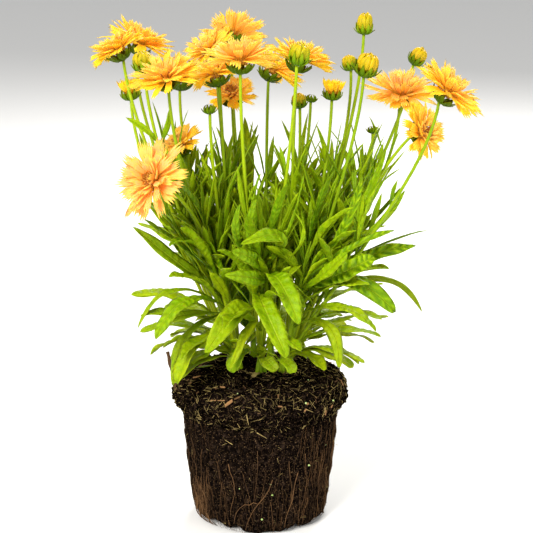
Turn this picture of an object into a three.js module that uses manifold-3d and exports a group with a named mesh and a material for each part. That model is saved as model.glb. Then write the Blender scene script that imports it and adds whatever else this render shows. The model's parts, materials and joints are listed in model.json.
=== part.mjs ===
// A flowering coreopsis lifted out of its pot: a moulded root ball, nine leafy shoots that grow
// from one crown, and the ray florets of every open flower and half-open bud.
// Millimetres, +Z up. The origin is the middle of the root ball's flat underside; the front is -Y.

import * as THREE from 'three';
import { mergeVertices } from 'three/addons/utils/BufferGeometryUtils.js';
import Module from 'manifold-3d';

const wasm = await Module();
wasm.setup();

// ---------- driving dimensions ----------

const GAP = 0.3; // between two separate pieces
const SEED = 20417; // first value of the random rule, for the root ball
const SHOOT_SEED = 101; // each further shoot adds this to it
const FLOWER_SEED = { bloom: 5003, bud: 9001, step: 37 };

// The root ball keeps the shape of a 130 mm pot: a tapered wall under an overhanging lip.
const BALL = {
  foot: 46, // radius of the flat underside
  low: 49.5, // radius just above the rounded bottom edge
  waist: 57.5, // radius right under the lip
  lip: 64.5, // widest radius
  edge: 5, // height of the rounded bottom edge
  underLip: 87,
  overLip: 93,
  rim: 107, // height of the soil at the rim
  mound: 115, // height of the soil in the middle
  sides: 38,
};
const SOIL_RELIEF = { folds: 1.15, crumbs: 0.95, onTop: 0.6 };
const ROOT_RIDGES = { count: 9, radius: 1.7, sunk: 0.1, steps: 3 };
const CHIPS = { count: 6, size: [9, 4, 3] };

// A crown is the woody foot of one shoot, planted in a plain hole in the soil.
const CROWN = { radius: 4.2, top: 3.2, depth: 9, height: 132, inside: 119, sides: 6 };
const STALK = { radius: 1.4, sides: 4, steps: 4, neck: 10, stand: 42, bow: 14 };
const LEAFY_STEM = { radius: 2.2, sides: 4, steps: 3, bow: 3 };

const BLADE = { keel: 0.95, rib: 0.3, fold: 0.22, sunk: 1.6 };
const BROAD_ROWS = [0, 0.42, 0.76, 1];
const NARROW_ROWS = [0, 0.5, 1];
const NARROW = 7.3; // a leaf narrower than this takes the narrow rows
const SOIL_CLEARANCE = 2.6; // a leaf over the soil keeps this height

// How leaves grow: each pair gives the least and the most of a random value, in mm or degrees.
const BASAL_LEAF = {
  count: 3, start: [122, 129], swing: [-5, 5], climb: [18, 44], droop: [52, 76], turn: [-14, 14],
  length: [46, 72], width: [10, 14], peak: 1.75,
};
const STALK_LEAF = {
  start: [165, 220], swing: [10, 60], climb: [62, 80], droop: [2, 26], turn: [-20, 20],
  length: [46, 74], width: [5, 7.2], peak: 1.2,
};
// Up a leafy stem each value runs from its first number at the foot to its second at the crest;
// the leaves spread about it by chance.
const STEM_LEAF = {
  count: 6, foot: 126, belowCrest: 4, beyondWedge: 12, climb: [26, 74], droop: [62, 18],
  length: [70, 84], width: [13, 7.5], peak: [1.55, 1.25],
};
const STEM_LEAF_SPREAD = {
  climb: [-9, 9], droop: [-8, 8], turn: [-18, 18], length: [-10, 8], width: [-1.5, 1.5],
};

// Flower heads, measured from the top of the stalk along the way the head faces.
const CUP = { belly: 5.2, mouth: 6.6, bellyAt: 1.9, height: 6.6 };
const BRACT = { count: 6, reach: 11.5, bloomRise: 3.6, budRise: 7 };
const BUD_RIBS = 6;
const GREEN_BUD = 5; // radius up to which a bud is still all green and its stalk bare

// ---------- the plan of the plant ----------

// Each shoot keeps to its own wedge about the upright axis, from one azimuth to the next (degrees,
// 270 is the front). crest is the top of its leafy stem.
const SHOOTS = [
  { name: 'front', from: 237, to: 305, crownAt: 17, crest: [3, -33, 212] },
  { name: 'front_right', from: 305, to: 338, crownAt: 22, crest: [36, -28, 216] },
  { name: 'right', from: 338, to: 374, crownAt: 22, crest: [44, -2, 214] },
  { name: 'back_right', from: 14, to: 49, crownAt: 22, crest: [34, 22, 216] },
  { name: 'right_back', from: 49, to: 87, crownAt: 21, crest: [14, 32, 220] },
  { name: 'back', from: 87, to: 119, crownAt: 23, crest: [-8, 40, 216] },
  { name: 'back_left', from: 119, to: 155, crownAt: 22, crest: [-26, 26, 214] },
  { name: 'left', from: 155, to: 193, crownAt: 21, crest: [-38, 2, 212] },
  { name: 'front_left', from: 193, to: 237, crownAt: 20, crest: [-34, -24, 214] },
];

// Heads: the top of the stalk in mm, and where the head faces (azimuth, climb). neck and stand are
// the stretches over which the stalk turns to the head and stands up under it.
const BLOOMS = [
  { name: 'far_left', shoot: 'left', foot: [-98, 15, 340], face: [178, 62], radius: 20 },
  { name: 'left_top', shoot: 'back_left', foot: [-93, 75, 336], face: [20, 68], radius: 26 },
  { name: 'left_low', shoot: 'front_left', foot: [-63, -35, 326], face: [232, 66], radius: 24 },
  { name: 'left_back', shoot: 'back_left', foot: [-60, 62, 311], face: [70, 72], radius: 24 },
  { name: 'middle_rear', shoot: 'back_left', foot: [-33, 47, 336], face: [205, 56], radius: 20 },
  { name: 'middle_left', shoot: 'left', foot: [-29, 10, 322], face: [165, 72], radius: 22 },
  { name: 'top_back', shoot: 'back', foot: [-22, 105, 338], face: [85, 34], radius: 24 },
  { name: 'middle_front', shoot: 'front', foot: [-13, -55, 340], face: [80, 82], radius: 26 },
  { name: 'middle_right', shoot: 'right_back', foot: [5, 52, 320], face: [25, 58], radius: 23 },
  { name: 'right_inner', shoot: 'right', foot: [26, -4, 334], face: [20, 74], radius: 24 },
  { name: 'back_low', shoot: 'back', foot: [-21, 73, 299], face: [262, 60], radius: 18 },
  { name: 'front_left', shoot: 'front_left', foot: [-68, -68, 266], face: [232, 24], radius: 26,
    neck: 50, stand: 4 },
  { name: 'left_inner', shoot: 'left', foot: [-53, 11, 273], face: [205, 50], radius: 17 },
  { name: 'right', shoot: 'right', foot: [101, 16, 307], face: [285, 72], radius: 26 },
  { name: 'far_right', shoot: 'front_right', foot: [122, -63, 322], face: [350, 50], radius: 25 },
  { name: 'right_low', shoot: 'right', foot: [108, -24, 292], face: [322, 16], radius: 19,
    neck: 26, stand: 14 },
];

// open: 0 is a tight bud, 1 a bud whose rays stand open. A green bud has no node of its own.
const BUDS = [
  { name: 'left_front', shoot: 'left', foot: [-81, -12, 335], face: [180, 80], radius: 7.2, open: 0 },
  { name: 'left_low', shoot: 'left', foot: [-94, 28, 309], face: [170, 82], radius: 6.6, open: 1 },
  { name: 'middle_green', shoot: 'front_left', foot: [-35, -22, 307], face: [200, 84], radius: 4.6 },
  { name: 'front_right', shoot: 'front', foot: [26, -53, 346], face: [330, 78], radius: 7.4, open: 0 },
  { name: 'top', shoot: 'right', foot: [74, 9, 359], face: [30, 84], radius: 7, open: 0 },
  { name: 'right_front', shoot: 'front_right', foot: [72, -38, 336], face: [335, 72], radius: 8, open: 0 },
  { name: 'right_back', shoot: 'back_right', foot: [66, 25, 331], face: [160, 74], radius: 5.4, open: 0 },
  { name: 'far_right', shoot: 'back_right', foot: [113, 48, 332], face: [10, 54], radius: 6.6, open: 0 },
  { name: 'inner_right', shoot: 'right', foot: [51, -10, 315], face: [0, 84], radius: 6.2, open: 1 },
  { name: 'inner_back', shoot: 'back_right', foot: [29, 21, 304], face: [180, 82], radius: 5.2, open: 0 },
  { name: 'back_green', shoot: 'right_back', foot: [38, 66, 301], face: [40, 80], radius: 4.2 },
  { name: 'right_green', shoot: 'back_right', foot: [83, 35, 283], face: [150, 82], radius: 3.8 },
];

// The large leaves of the front shoots, by shoot. Each leaves the leafy stem at a height, passes
// near a middle point and ends at its tip; peak says how far out it is widest.
const SHOWN_LEAVES = {
  front: [
    { height: 172, middle: [2, -52, 176], tip: [19, -75, 143], width: 16, peak: 1.5 },
    { height: 182, middle: [12, -58, 196], tip: [27, -84, 170], width: 15, peak: 1.4 },
    { height: 190, middle: [-4, -58, 197], tip: [-27, -80, 204], width: 9, peak: 1.3 },
    { height: 198, middle: [4, -58, 222], tip: [-15, -84, 228], width: 10, peak: 1.3 },
    { height: 188, middle: [-6, -52, 214], tip: [-20, -70, 220], width: 12, peak: 1.3 },
    { height: 158, middle: [-14, -48, 170], tip: [-41, -72, 146], width: 13, peak: 1.6 },
    { height: 146, middle: [-6, -50, 160], tip: [-21, -70, 133], width: 10, peak: 1.5 },
    { height: 132, middle: [2, -38, 132], tip: [4, -62, 124], width: 12, peak: 1.7 },
    { height: 128, middle: [12, -34, 128], tip: [20, -56, 120], width: 9, peak: 1.7 },
    { height: 168, middle: [16, -44, 186], tip: [33, -62, 176], width: 11, peak: 1.5 },
  ],
  front_left: [
    { height: 168, middle: [-46, -48, 192], tip: [-72, -76, 157], width: 12, peak: 1.7 },
    { height: 148, middle: [-44, -50, 150], tip: [-56, -62, 122], width: 12, peak: 1.7 },
    { height: 160, middle: [-58, -36, 166], tip: [-66, -40, 108], width: 8, peak: 1.2 },
    { height: 172, middle: [-52, -34, 196], tip: [-89, -44, 230], width: 9, peak: 1.3 },
    { height: 196, middle: [-48, -44, 218], tip: [-62, -70, 222], width: 8, peak: 1.3 },
    { height: 164, middle: [-62, -38, 182], tip: [-86, -52, 158], width: 7, peak: 1.2 },
  ],
  front_right: [
    { height: 170, middle: [60, -42, 190], tip: [98, -42, 168], width: 11, peak: 1.5 },
    { height: 158, middle: [58, -46, 172], tip: [82, -56, 157], width: 10, peak: 1.4 },
    { height: 150, middle: [48, -50, 160], tip: [56, -60, 131], width: 9, peak: 1.4 },
    { height: 178, middle: [58, -44, 196], tip: [84, -56, 208], width: 14, peak: 1.3 },
    { height: 182, middle: [44, -48, 206], tip: [61, -74, 220], width: 8, peak: 1.3 },
    { height: 134, middle: [40, -36, 138], tip: [54, -50, 132], width: 10, peak: 1.7 },
  ],
  right: [
    { height: 172, middle: [78, -14, 204], tip: [117, -26, 215], width: 11, peak: 1.3 },
    { height: 160, middle: [86, 4, 180], tip: [120, 8, 153], width: 7, peak: 1.2 },
  ],
};

// ---------- the random rule ----------

function makeRandom(seed) {
  let state = seed;
  return (low, high) => {
    state = (state * 48271) % 2147483647;
    return low + (high - low) * (state / 2147483647);
  };
}

// ---------- solids ----------

function solidOf(source) {
  const plain = source.clone();
  for (const name of Object.keys(plain.attributes)) {
    if (name !== 'position') plain.deleteAttribute(name);
  }
  const merged = mergeVertices(plain, 1e-4);
  const index = merged.index.array;
  const faces = [];
  for (let i = 0; i < index.length; i += 3) {
    const [a, b, c] = [index[i], index[i + 1], index[i + 2]];
    if (a !== b && b !== c && c !== a) faces.push(a, b, c);
  }
  return new wasm.Manifold(new wasm.Mesh({
    numProp: 3,
    vertProperties: Float32Array.from(merged.attributes.position.array),
    triVerts: Uint32Array.from(faces),
  }));
}

function geometryOf(solid) {
  const mesh = solid.getMesh();
  const geometry = new THREE.BufferGeometry();
  geometry.setAttribute('position', new THREE.BufferAttribute(mesh.vertProperties, 3));
  geometry.setIndex(new THREE.BufferAttribute(mesh.triVerts, 1));
  return geometry;
}

function fuse(geometries) {
  let solids = geometries.map(solidOf);
  while (solids.length > 1) {
    const pairs = [];
    for (let i = 0; i < solids.length; i += 2) {
      pairs.push(i + 1 < solids.length ? solids[i].add(solids[i + 1]) : solids[i]);
    }
    solids = pairs;
  }
  return solids[0];
}

// ---------- directions and places ----------

const radians = THREE.MathUtils.degToRad;

function direction(azimuth, climb) {
  const [a, c] = [radians(azimuth), radians(climb)];
  return new THREE.Vector3(Math.cos(a) * Math.cos(c), Math.sin(a) * Math.cos(c), Math.sin(c));
}

function vector(values) {
  return new THREE.Vector3(...values);
}

function middleAzimuth(shoot) {
  return (shoot.from + shoot.to) / 2;
}

// Moves a point sideways until it lies inside the shoot's wedge, margin mm from its two walls.
function keepInWedge(point, shoot, margin) {
  const half = radians((shoot.to - shoot.from) / 2);
  const out = direction(middleAzimuth(shoot), 0);
  const across = new THREE.Vector3(-out.y, out.x, 0);
  const reach = Math.max(point.x * out.x + point.y * out.y, margin / Math.sin(half) + 0.01);
  const limit = reach * Math.tan(half) - margin / Math.cos(half);
  const wish = (point.x * across.x + point.y * across.y) / limit;
  const side = limit * wish / (1 + Math.abs(wish) ** 6) ** (1 / 6);
  return new THREE.Vector3(
    out.x * reach + across.x * side, out.y * reach + across.y * side, point.z);
}

function soilHeight(radius) {
  return BALL.rim + (BALL.mound - BALL.rim) * (1 - Math.min(1, radius / BALL.lip) ** 2);
}

// Over the soil a leaf never comes lower than a little above it.
function keepOffSoil(point) {
  const radius = Math.hypot(point.x, point.y);
  const floor = soilHeight(radius) + SOIL_CLEARANCE;
  if (radius < BALL.lip + 4 && point.z < floor) point.z = floor;
  return point;
}

// ---------- stalks and leafy stems ----------

// The joints of a rod that runs along a curve and keeps to the shoot's wedge.
function rodJoints(points, shoot, radius, steps) {
  const curve = new THREE.CubicBezierCurve3(...points);
  return curve.getSpacedPoints(steps).map((point) => keepInWedge(point, shoot, radius + GAP));
}

// A rod of one thickness with straight stretches between its joints.
function rodGeometry(joints, radius, sides) {
  const outline = new THREE.Shape();
  for (let i = 0; i < sides; i += 1) {
    const angle = (2 * Math.PI * i) / sides;
    const corner = [radius * Math.cos(angle), radius * Math.sin(angle)];
    if (i === 0) outline.moveTo(...corner);
    else outline.lineTo(...corner);
  }
  const path = new THREE.CatmullRomCurve3(joints);
  const steps = joints.length - 1;
  path.getSpacedPoints = () => joints;
  return new THREE.ExtrudeGeometry(outline, { steps, extrudePath: path, bevelEnabled: false });
}

function crownPoint(shoot, height) {
  const out = direction(middleAzimuth(shoot), 0).multiplyScalar(shoot.crownAt);
  return new THREE.Vector3(out.x, out.y, height);
}

// A flower stalk rises straight from the crown, stands up under its head and bends into the way
// the head faces over its neck.
function stalkJoints(head, shoot) {
  const root = crownPoint(shoot, CROWN.inside);
  const foot = vector(head.foot);
  const { neck, stand } = { ...STALK, ...head };
  const upper = foot.clone().addScaledVector(direction(...head.face), -neck);
  upper.z -= stand;
  const lower = root.clone().lerp(upper, 0.5);
  lower.z += STALK.bow;
  return rodJoints([root, lower, upper, foot], shoot, STALK.radius, STALK.steps);
}

function leafyStemJoints(shoot) {
  const root = crownPoint(shoot, CROWN.inside);
  const crest = vector(shoot.crest);
  const lower = root.clone().lerp(crest, 0.33);
  const upper = root.clone().lerp(crest, 0.7);
  upper.z += LEAFY_STEM.bow;
  return rodJoints([root, lower, upper, crest], shoot, LEAFY_STEM.radius, LEAFY_STEM.steps);
}

// The point of a rising rod at a height.
function pointAtHeight(joints, height) {
  const next = Math.max(1, joints.findIndex((joint) => joint.z > height));
  const [low, high] = [joints[next - 1], joints[next]];
  return low.clone().lerp(high, (height - low.z) / (high.z - low.z));
}

// ---------- leaves ----------

function bladeHalfWidth(leaf, t) {
  if (t >= 1) return 0;
  return (leaf.width / 2) * Math.sin(Math.PI * t ** leaf.peak);
}

// The middle line of a grown leaf: it sets out at a heading and a climb, droops and turns.
function grownLine(leaf) {
  const steps = 12;
  const points = [leaf.root.clone()];
  for (let i = 0; i < steps; i += 1) {
    const t = (i + 0.5) / steps;
    const way = direction(leaf.heading + leaf.turn * t, leaf.climb - leaf.droop * t ** 1.4);
    points.push(points[i].clone().addScaledVector(way, leaf.length / steps));
  }
  return new THREE.CatmullRomCurve3(points);
}

// The middle line of a shown leaf: a curve from its root by its middle point to its tip.
function shownLine(leaf) {
  const [root, middle, tip] = [leaf.root, vector(leaf.middle), vector(leaf.tip)];
  const ends = root.clone().add(tip);
  const control = middle.multiplyScalar(2).addScaledVector(ends, -0.5);
  return new THREE.QuadraticBezierCurve3(root, control, tip);
}

// A blade is a bar with four corners: the upper midrib, the right edge, the keel and the left edge.
// Its two upper and two lower faces are split alike, so that a bent blade never cuts itself.
function bladeGeometry(leaf, shoot) {
  const shares = leaf.width < NARROW ? NARROW_ROWS : BROAD_ROWS;
  const rows = shares.length - 1;
  const geometry = new THREE.CylinderGeometry(1, 1, 1, 4, rows);
  const index = geometry.index;
  for (const side of [1, 3]) {
    for (let row = 0; row < rows; row += 1) {
      const at = (side * rows + row) * 6;
      const [a, b, d, , c] = Array.from({ length: 5 }, (none, k) => index.getX(at + k));
      [a, b, c, a, c, d].forEach((value, k) => index.setX(at + k, value));
    }
  }
  const line = leaf.tip ? shownLine(leaf) : grownLine(leaf);
  const spine = shares.map((t) => {
    if (t === 0) return leaf.root.clone().addScaledVector(line.getTangent(0), -BLADE.sunk);
    return keepOffSoil(keepInWedge(line.getPoint(t), shoot, bladeHalfWidth(leaf, t) + GAP));
  });
  const place = geometry.attributes.position;
  for (let i = 0; i < place.count; i += 1) {
    const row = Math.round((place.getY(i) + 0.5) * rows);
    const before = spine[Math.max(0, row - 1)];
    const after = spine[Math.min(rows, row + 1)];
    const along = after.clone().sub(before).normalize();
    const level = direction(middleAzimuth(shoot) - 90, 0);
    const across = along.clone().cross(new THREE.Vector3(0, 0, 1)).addScaledVector(level, 0.25);
    across.addScaledVector(along, -across.dot(along)).normalize();
    const up = across.clone().cross(along);
    const half = bladeHalfWidth(leaf, shares[row]);
    const slim = Math.min(1, half);
    const x = Math.round(place.getX(i));
    const z = Math.round(place.getZ(i));
    let lift = Math.abs(x) * half * BLADE.fold;
    if (z > 0) lift = BLADE.rib * slim;
    if (z < 0) lift = -BLADE.keel * slim;
    const point = spine[row].clone().addScaledVector(across, x * half).addScaledVector(up, lift);
    place.setXYZ(i, point.x, point.y, point.z);
  }
  return geometry;
}

function mixed([low, high], share) {
  return low + (high - low) * share;
}

// Low leaves of a leafy stem are broad and lie over; high ones are narrow and stand up.
function stemLeaf(shoot, stem, share, random) {
  const half = (shoot.to - shoot.from) / 2;
  const rise = shoot.crest[2] - STEM_LEAF.belowCrest - STEM_LEAF.foot;
  const lean = random(-1, 1);
  return {
    root: pointAtHeight(stem, STEM_LEAF.foot + rise * share),
    heading: middleAzimuth(shoot) + lean * (half + STEM_LEAF.beyondWedge),
    climb: mixed(STEM_LEAF.climb, share) + random(...STEM_LEAF_SPREAD.climb),
    droop: mixed(STEM_LEAF.droop, share) + random(...STEM_LEAF_SPREAD.droop),
    turn: random(...STEM_LEAF_SPREAD.turn),
    length: mixed(STEM_LEAF.length, share) + random(...STEM_LEAF_SPREAD.length),
    width: mixed(STEM_LEAF.width, share) + random(...STEM_LEAF_SPREAD.width),
    peak: mixed(STEM_LEAF.peak, share),
  };
}

function grownLeaf(rule, root, heading, random) {
  return {
    root,
    heading,
    climb: random(...rule.climb),
    droop: random(...rule.droop),
    turn: random(...rule.turn),
    length: random(...rule.length),
    width: random(...rule.width),
    peak: rule.peak,
  };
}

function basalLeaf(shoot, share, random) {
  const half = (shoot.to - shoot.from) / 2;
  const root = crownPoint(shoot, random(...BASAL_LEAF.start));
  const heading = middleAzimuth(shoot) + (2 * share - 1) * half + random(...BASAL_LEAF.swing);
  return grownLeaf(BASAL_LEAF, root, heading, random);
}

// The one leaf of a flower stalk, on its left or right side (-1 or 1).
function stalkLeaf(shoot, stalk, side, random) {
  const root = pointAtHeight(stalk, random(...STALK_LEAF.start));
  const heading = middleAzimuth(shoot) + side * random(...STALK_LEAF.swing);
  return grownLeaf(STALK_LEAF, root, heading, random);
}

// ---------- flower heads ----------

// Turns a piece made with its axis along +Z so that it stands on the head's stalk.
function standOn(geometry, head) {
  const facing = direction(...head.face);
  const level = direction(head.face[0] + 90, 0);
  const third = facing.clone().cross(level);
  const turn = new THREE.Matrix4().makeBasis(level, third, facing);
  turn.setPosition(vector(head.foot));
  return geometry.applyMatrix4(turn);
}

function turned(profile, sides) {
  const points = profile.map(([radius, height]) => new THREE.Vector2(radius, height));
  return new THREE.LatheGeometry(points, sides).rotateX(Math.PI / 2);
}

// A round piece that stands out in points or ribs: every second corner of a row takes the row's
// own radius and height for it, [radius, height, other radius, other height].
function starred(profile, points) {
  const geometry = turned(profile, points * 2);
  const place = geometry.attributes.position;
  for (let i = 0; i < place.count; i += 1) {
    const [radius, height, otherRadius = radius, otherHeight = height] = profile[i % profile.length];
    const corner = Math.floor(i / profile.length) % (points * 2);
    if (corner % 2 === 0 || radius === 0) continue;
    const scale = otherRadius / radius;
    place.setXYZ(i, place.getX(i) * scale, place.getY(i) * scale, otherHeight);
  }
  return geometry;
}

// The green cup under a head with its outer bracts, which stand out as a ring of points.
// size is 1 for an open flower; the bracts of a bud stand steeper.
function calyxGeometry(head, size, bractRise) {
  const count = size > 0.8 ? BRACT.count : BRACT.count - 1;
  const height = CUP.height * size;
  const profile = [
    [0, -3], [CUP.belly * size, CUP.bellyAt * size, BRACT.reach * size, bractRise * size],
    [CUP.mouth * size, height, CUP.mouth * size * 0.94], [0, height],
  ];
  if (head.radius < CUP.mouth) profile.splice(2, 1);
  return standOn(starred(profile, count), head);
}

// The rim of one petal, corner by corner: [share of its sector, share of its reach, lift]. A deep
// notch stands beside it; its tip has three teeth.
const PETAL_RIM = [
  [-0.5, 0.25, 0], [-0.33, 0.92, 0.5], [-0.19, 0.86, -0.5], [0, 1.03, 0.6], [0.19, 0.86, -0.5],
  [0.33, 0.92, 0.5],
];

// A flower is turned as one closed piece: its underside, the rim of its outer petals, a groove, the
// rim of its inner petals and its middle. The two rims are then cut into toothed petals, each with
// its own length and climb.
function rosetteGeometry(rosette, random) {
  const { petals, base, outer, inner, groove, middle } = rosette;
  const corners = petals * PETAL_RIM.length;
  const rows = [[0, base], [outer.reach, 0], groove, [inner.reach, 0], middle];
  const geometry = turned(rows, corners);
  const rims = { 1: outer, 3: inner };
  for (const ring of Object.values(rims)) {
    ring.own = [];
    for (let i = 0; i < petals; i += 1) {
      ring.own.push([random(0.88, 1.03), ring.climb + (i % 2) * ring.swing + random(-6, 6)]);
    }
  }
  const place = geometry.attributes.position;
  for (let i = 0; i < place.count; i += 1) {
    const ring = rims[i % rows.length];
    if (!ring) continue;
    const corner = Math.floor(i / rows.length) % corners;
    const shifted = (corner + ring.shift) % corners;
    const number = Math.floor(shifted / PETAL_RIM.length);
    const [sector, share, lift] = PETAL_RIM[shifted % PETAL_RIM.length];
    const [stretch, climb] = sector === -0.5 ? [1, ring.climb] : ring.own[number];
    const angle = (2 * Math.PI * (number + 0.5 + sector - ring.shift / PETAL_RIM.length)) / petals;
    const run = ring.reach * share * stretch;
    const out = run * Math.cos(radians(climb));
    const height = ring.height + run * Math.sin(radians(climb)) + lift;
    place.setXYZ(i, out * Math.sin(angle), -out * Math.cos(angle), height);
  }
  return geometry;
}

function bloomGeometry(bloom, random) {
  const base = CUP.height + GAP;
  return standOn(rosetteGeometry({
    petals: 8,
    base,
    outer: { reach: bloom.radius, climb: 4, swing: 9, height: base + 2.2, shift: 0 },
    groove: [5.2, base + 4.6],
    inner: { reach: bloom.radius * 0.74, climb: 34, swing: 9, height: base + 5.6, shift: 3 },
    middle: [0, base + 7.5],
  }, random), bloom);
}

// A tight bud is an egg with ribs; a bud whose rays stand open has a crown of upright points.
function budGeometry(bud, random) {
  const size = bud.radius / CUP.mouth;
  const base = CUP.height * size + GAP;
  const egg = [
    [0, base], [bud.radius * 0.84, base, bud.radius * 0.72],
    [bud.radius * 0.95, base + bud.radius * 0.55, bud.radius * 0.78],
    [bud.radius * 0.5, base + bud.radius * 1.15, bud.radius * 0.4], [0, base + bud.radius * 1.3],
  ];
  if (!bud.open) return standOn(starred(egg, BUD_RIBS), bud);
  return standOn(rosetteGeometry({
    petals: 5,
    base,
    outer: { reach: bud.radius * 2, climb: 52, swing: 8, height: base + 1, shift: 0 },
    groove: [bud.radius * 0.3, base + 6],
    inner: { reach: bud.radius * 1.5, climb: 70, swing: 8, height: base + 5.5, shift: 3 },
    middle: [0, base + 8],
  }, random), bud);
}

// ---------- shoots ----------

function crownGeometry(shoot) {
  const bottom = soilHeight(shoot.crownAt) - CROWN.depth;
  const height = CROWN.height - bottom;
  const geometry = new THREE.CylinderGeometry(CROWN.top, CROWN.radius, height, CROWN.sides);
  geometry.rotateX(Math.PI / 2);
  const middle = crownPoint(shoot, bottom + height / 2);
  return geometry.translate(middle.x, middle.y, middle.z);
}

function shootPieces(shoot, random) {
  const stem = leafyStemJoints(shoot);
  const pieces = [crownGeometry(shoot), rodGeometry(stem, LEAFY_STEM.radius, LEAFY_STEM.sides)];
  const leaves = [];
  for (let i = 0; i < BASAL_LEAF.count; i += 1) {
    leaves.push(basalLeaf(shoot, (i + 0.5) / BASAL_LEAF.count, random));
  }
  for (let i = 0; i < STEM_LEAF.count; i += 1) {
    leaves.push(stemLeaf(shoot, stem, (i + 0.5) / STEM_LEAF.count, random));
  }
  for (const leaf of SHOWN_LEAVES[shoot.name] ?? []) {
    leaves.push({ ...leaf, root: pointAtHeight(stem, leaf.height) });
  }
  const heads = [...BLOOMS, ...BUDS].filter((head) => head.shoot === shoot.name);
  for (const [number, head] of heads.entries()) {
    const stalk = stalkJoints(head, shoot);
    pieces.push(rodGeometry(stalk, STALK.radius, STALK.sides));
    if (head.radius > GREEN_BUD) leaves.push(stalkLeaf(shoot, stalk, number % 2 ? 1 : -1, random));
    const bloom = BLOOMS.includes(head);
    const size = bloom ? 1 : head.radius / CUP.mouth;
    pieces.push(calyxGeometry(head, size, bloom ? BRACT.bloomRise : BRACT.budRise));
  }
  return [...pieces, ...leaves.map((leaf) => bladeGeometry(leaf, shoot))];
}

// ---------- root ball ----------

// The relief of the moulded soil: long upright folds left by the roots, and coarse crumbs.
function soilRelief(angle, height) {
  const folds = Math.sin(angle * 13 + height * 0.04) + 0.8 * Math.sin(angle * 9 - height * 0.07);
  const crumbs = Math.sin(angle * 17 + height * 0.43) + Math.sin(angle * 6 - height * 0.27);
  return SOIL_RELIEF.folds * folds + SOIL_RELIEF.crumbs * crumbs;
}

function ballGeometry() {
  const wall = [
    [0, 0], [BALL.foot, 0], [BALL.low, BALL.edge], [52, 26], [54.4, 50],
    [56.4, 72], [BALL.waist, BALL.underLip], [BALL.lip - 1.2, BALL.overLip - 4],
    [BALL.lip, BALL.overLip + 1], [BALL.lip - 0.4, 101], [BALL.lip - 3, BALL.rim],
    [52, soilHeight(52)], [36, soilHeight(36)], [18, soilHeight(18)], [0, BALL.mound],
  ];
  const geometry = turned(wall, BALL.sides);
  const place = geometry.attributes.position;
  for (let i = 0; i < place.count; i += 1) {
    const [x, y, z] = [place.getX(i), place.getY(i), place.getZ(i)];
    const radius = Math.hypot(x, y);
    const angle = Math.atan2(y, x);
    if (z < 0.01 || radius < 0.01) continue;
    if (z < BALL.rim - 0.01) {
      const grown = (radius + soilRelief(angle, z)) / radius;
      place.setXY(i, x * grown, y * grown);
    } else {
      place.setZ(i, z + soilRelief(angle, radius * 2) * SOIL_RELIEF.onTop);
    }
  }
  return geometry;
}

// A root that runs down the wall of the ball, half sunk in it.
function rootRidge(random) {
  const start = random(0, 360);
  const top = random(62, BALL.underLip);
  const bottom = random(9, 40);
  const drift = random(-16, 16);
  const points = [];
  for (let i = 0; i <= ROOT_RIDGES.steps; i += 1) {
    const share = i / ROOT_RIDGES.steps;
    const height = top + (bottom - top) * share;
    const angle = start + drift * share + random(-2.5, 2.5);
    const wall = BALL.low + (BALL.waist - BALL.low) * (height / BALL.underLip);
    const radius = wall + soilRelief(radians(angle), height) - ROOT_RIDGES.sunk;
    points.push(direction(angle, 0).multiplyScalar(radius).setZ(height));
  }
  return rodGeometry(points, ROOT_RIDGES.radius, 3);
}

// A chip of bark that lies half in the soil.
function chipGeometry(random) {
  const size = CHIPS.size.map((side) => side * random(0.6, 1.2));
  const geometry = new THREE.BoxGeometry(...size);
  geometry.rotateX(radians(random(-30, 30))).rotateY(radians(random(-25, 25)));
  geometry.rotateZ(radians(random(0, 180)));
  const radius = random(34, 58);
  const spot = direction(random(0, 360), 0).multiplyScalar(radius);
  return geometry.translate(spot.x, spot.y, soilHeight(radius) + 0.2);
}

// The stub of an old shoot, cut off at the left rim.
function stubGeometry() {
  const geometry = new THREE.CylinderGeometry(2.2, 3.2, 26, 5);
  geometry.rotateX(Math.PI / 2).rotateY(radians(-9));
  return geometry.translate(-57, -14, 113);
}

function rootBall(random) {
  const pieces = [ballGeometry(), stubGeometry()];
  for (let i = 0; i < ROOT_RIDGES.count; i += 1) pieces.push(rootRidge(random));
  for (let i = 0; i < CHIPS.count; i += 1) pieces.push(chipGeometry(random));
  let ball = fuse(pieces);
  for (const shoot of SHOOTS) {
    const radius = CROWN.radius + GAP;
    const hole = new THREE.CylinderGeometry(radius, radius, 60, 8).rotateX(Math.PI / 2);
    const middle = crownPoint(shoot, soilHeight(shoot.crownAt) - CROWN.depth - GAP + 30);
    ball = ball.subtract(solidOf(hole.translate(middle.x, middle.y, middle.z)));
  }
  return ball;
}

// ---------- the plant ----------

function material(color, roughness) {
  return new THREE.MeshStandardMaterial({ color, roughness, metalness: 0 });
}

const SOIL = material(0x2b1d14, 0.95);
const GREEN = material(0x7fae22, 0.55);
const RAYS = material(0xf7c265, 0.6);
const BUD_RAYS = material(0xe0b52c, 0.55);

const plant = new THREE.Group();
plant.name = 'coreopsis';

function addNode(name, solid, finish) {
  const mesh = new THREE.Mesh(geometryOf(solid), finish);
  mesh.name = name;
  plant.add(mesh);
}

addNode('root_ball', rootBall(makeRandom(SEED)), SOIL);
SHOOTS.forEach((shoot, i) => {
  const seed = SEED + SHOOT_SEED * (i + 1);
  addNode(`shoot_${shoot.name}`, fuse(shootPieces(shoot, makeRandom(seed))), GREEN);
});
BLOOMS.forEach((bloom, i) => {
  const seed = SEED + FLOWER_SEED.bloom + FLOWER_SEED.step * i;
  addNode(`bloom_${bloom.name}`, solidOf(bloomGeometry(bloom, makeRandom(seed))), RAYS);
});
BUDS.filter((bud) => bud.open !== undefined).forEach((bud, i) => {
  const seed = SEED + FLOWER_SEED.bud + FLOWER_SEED.step * i;
  addNode(`bud_${bud.name}`, solidOf(budGeometry(bud, makeRandom(seed))), BUD_RAYS);
});

export default plant;
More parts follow.
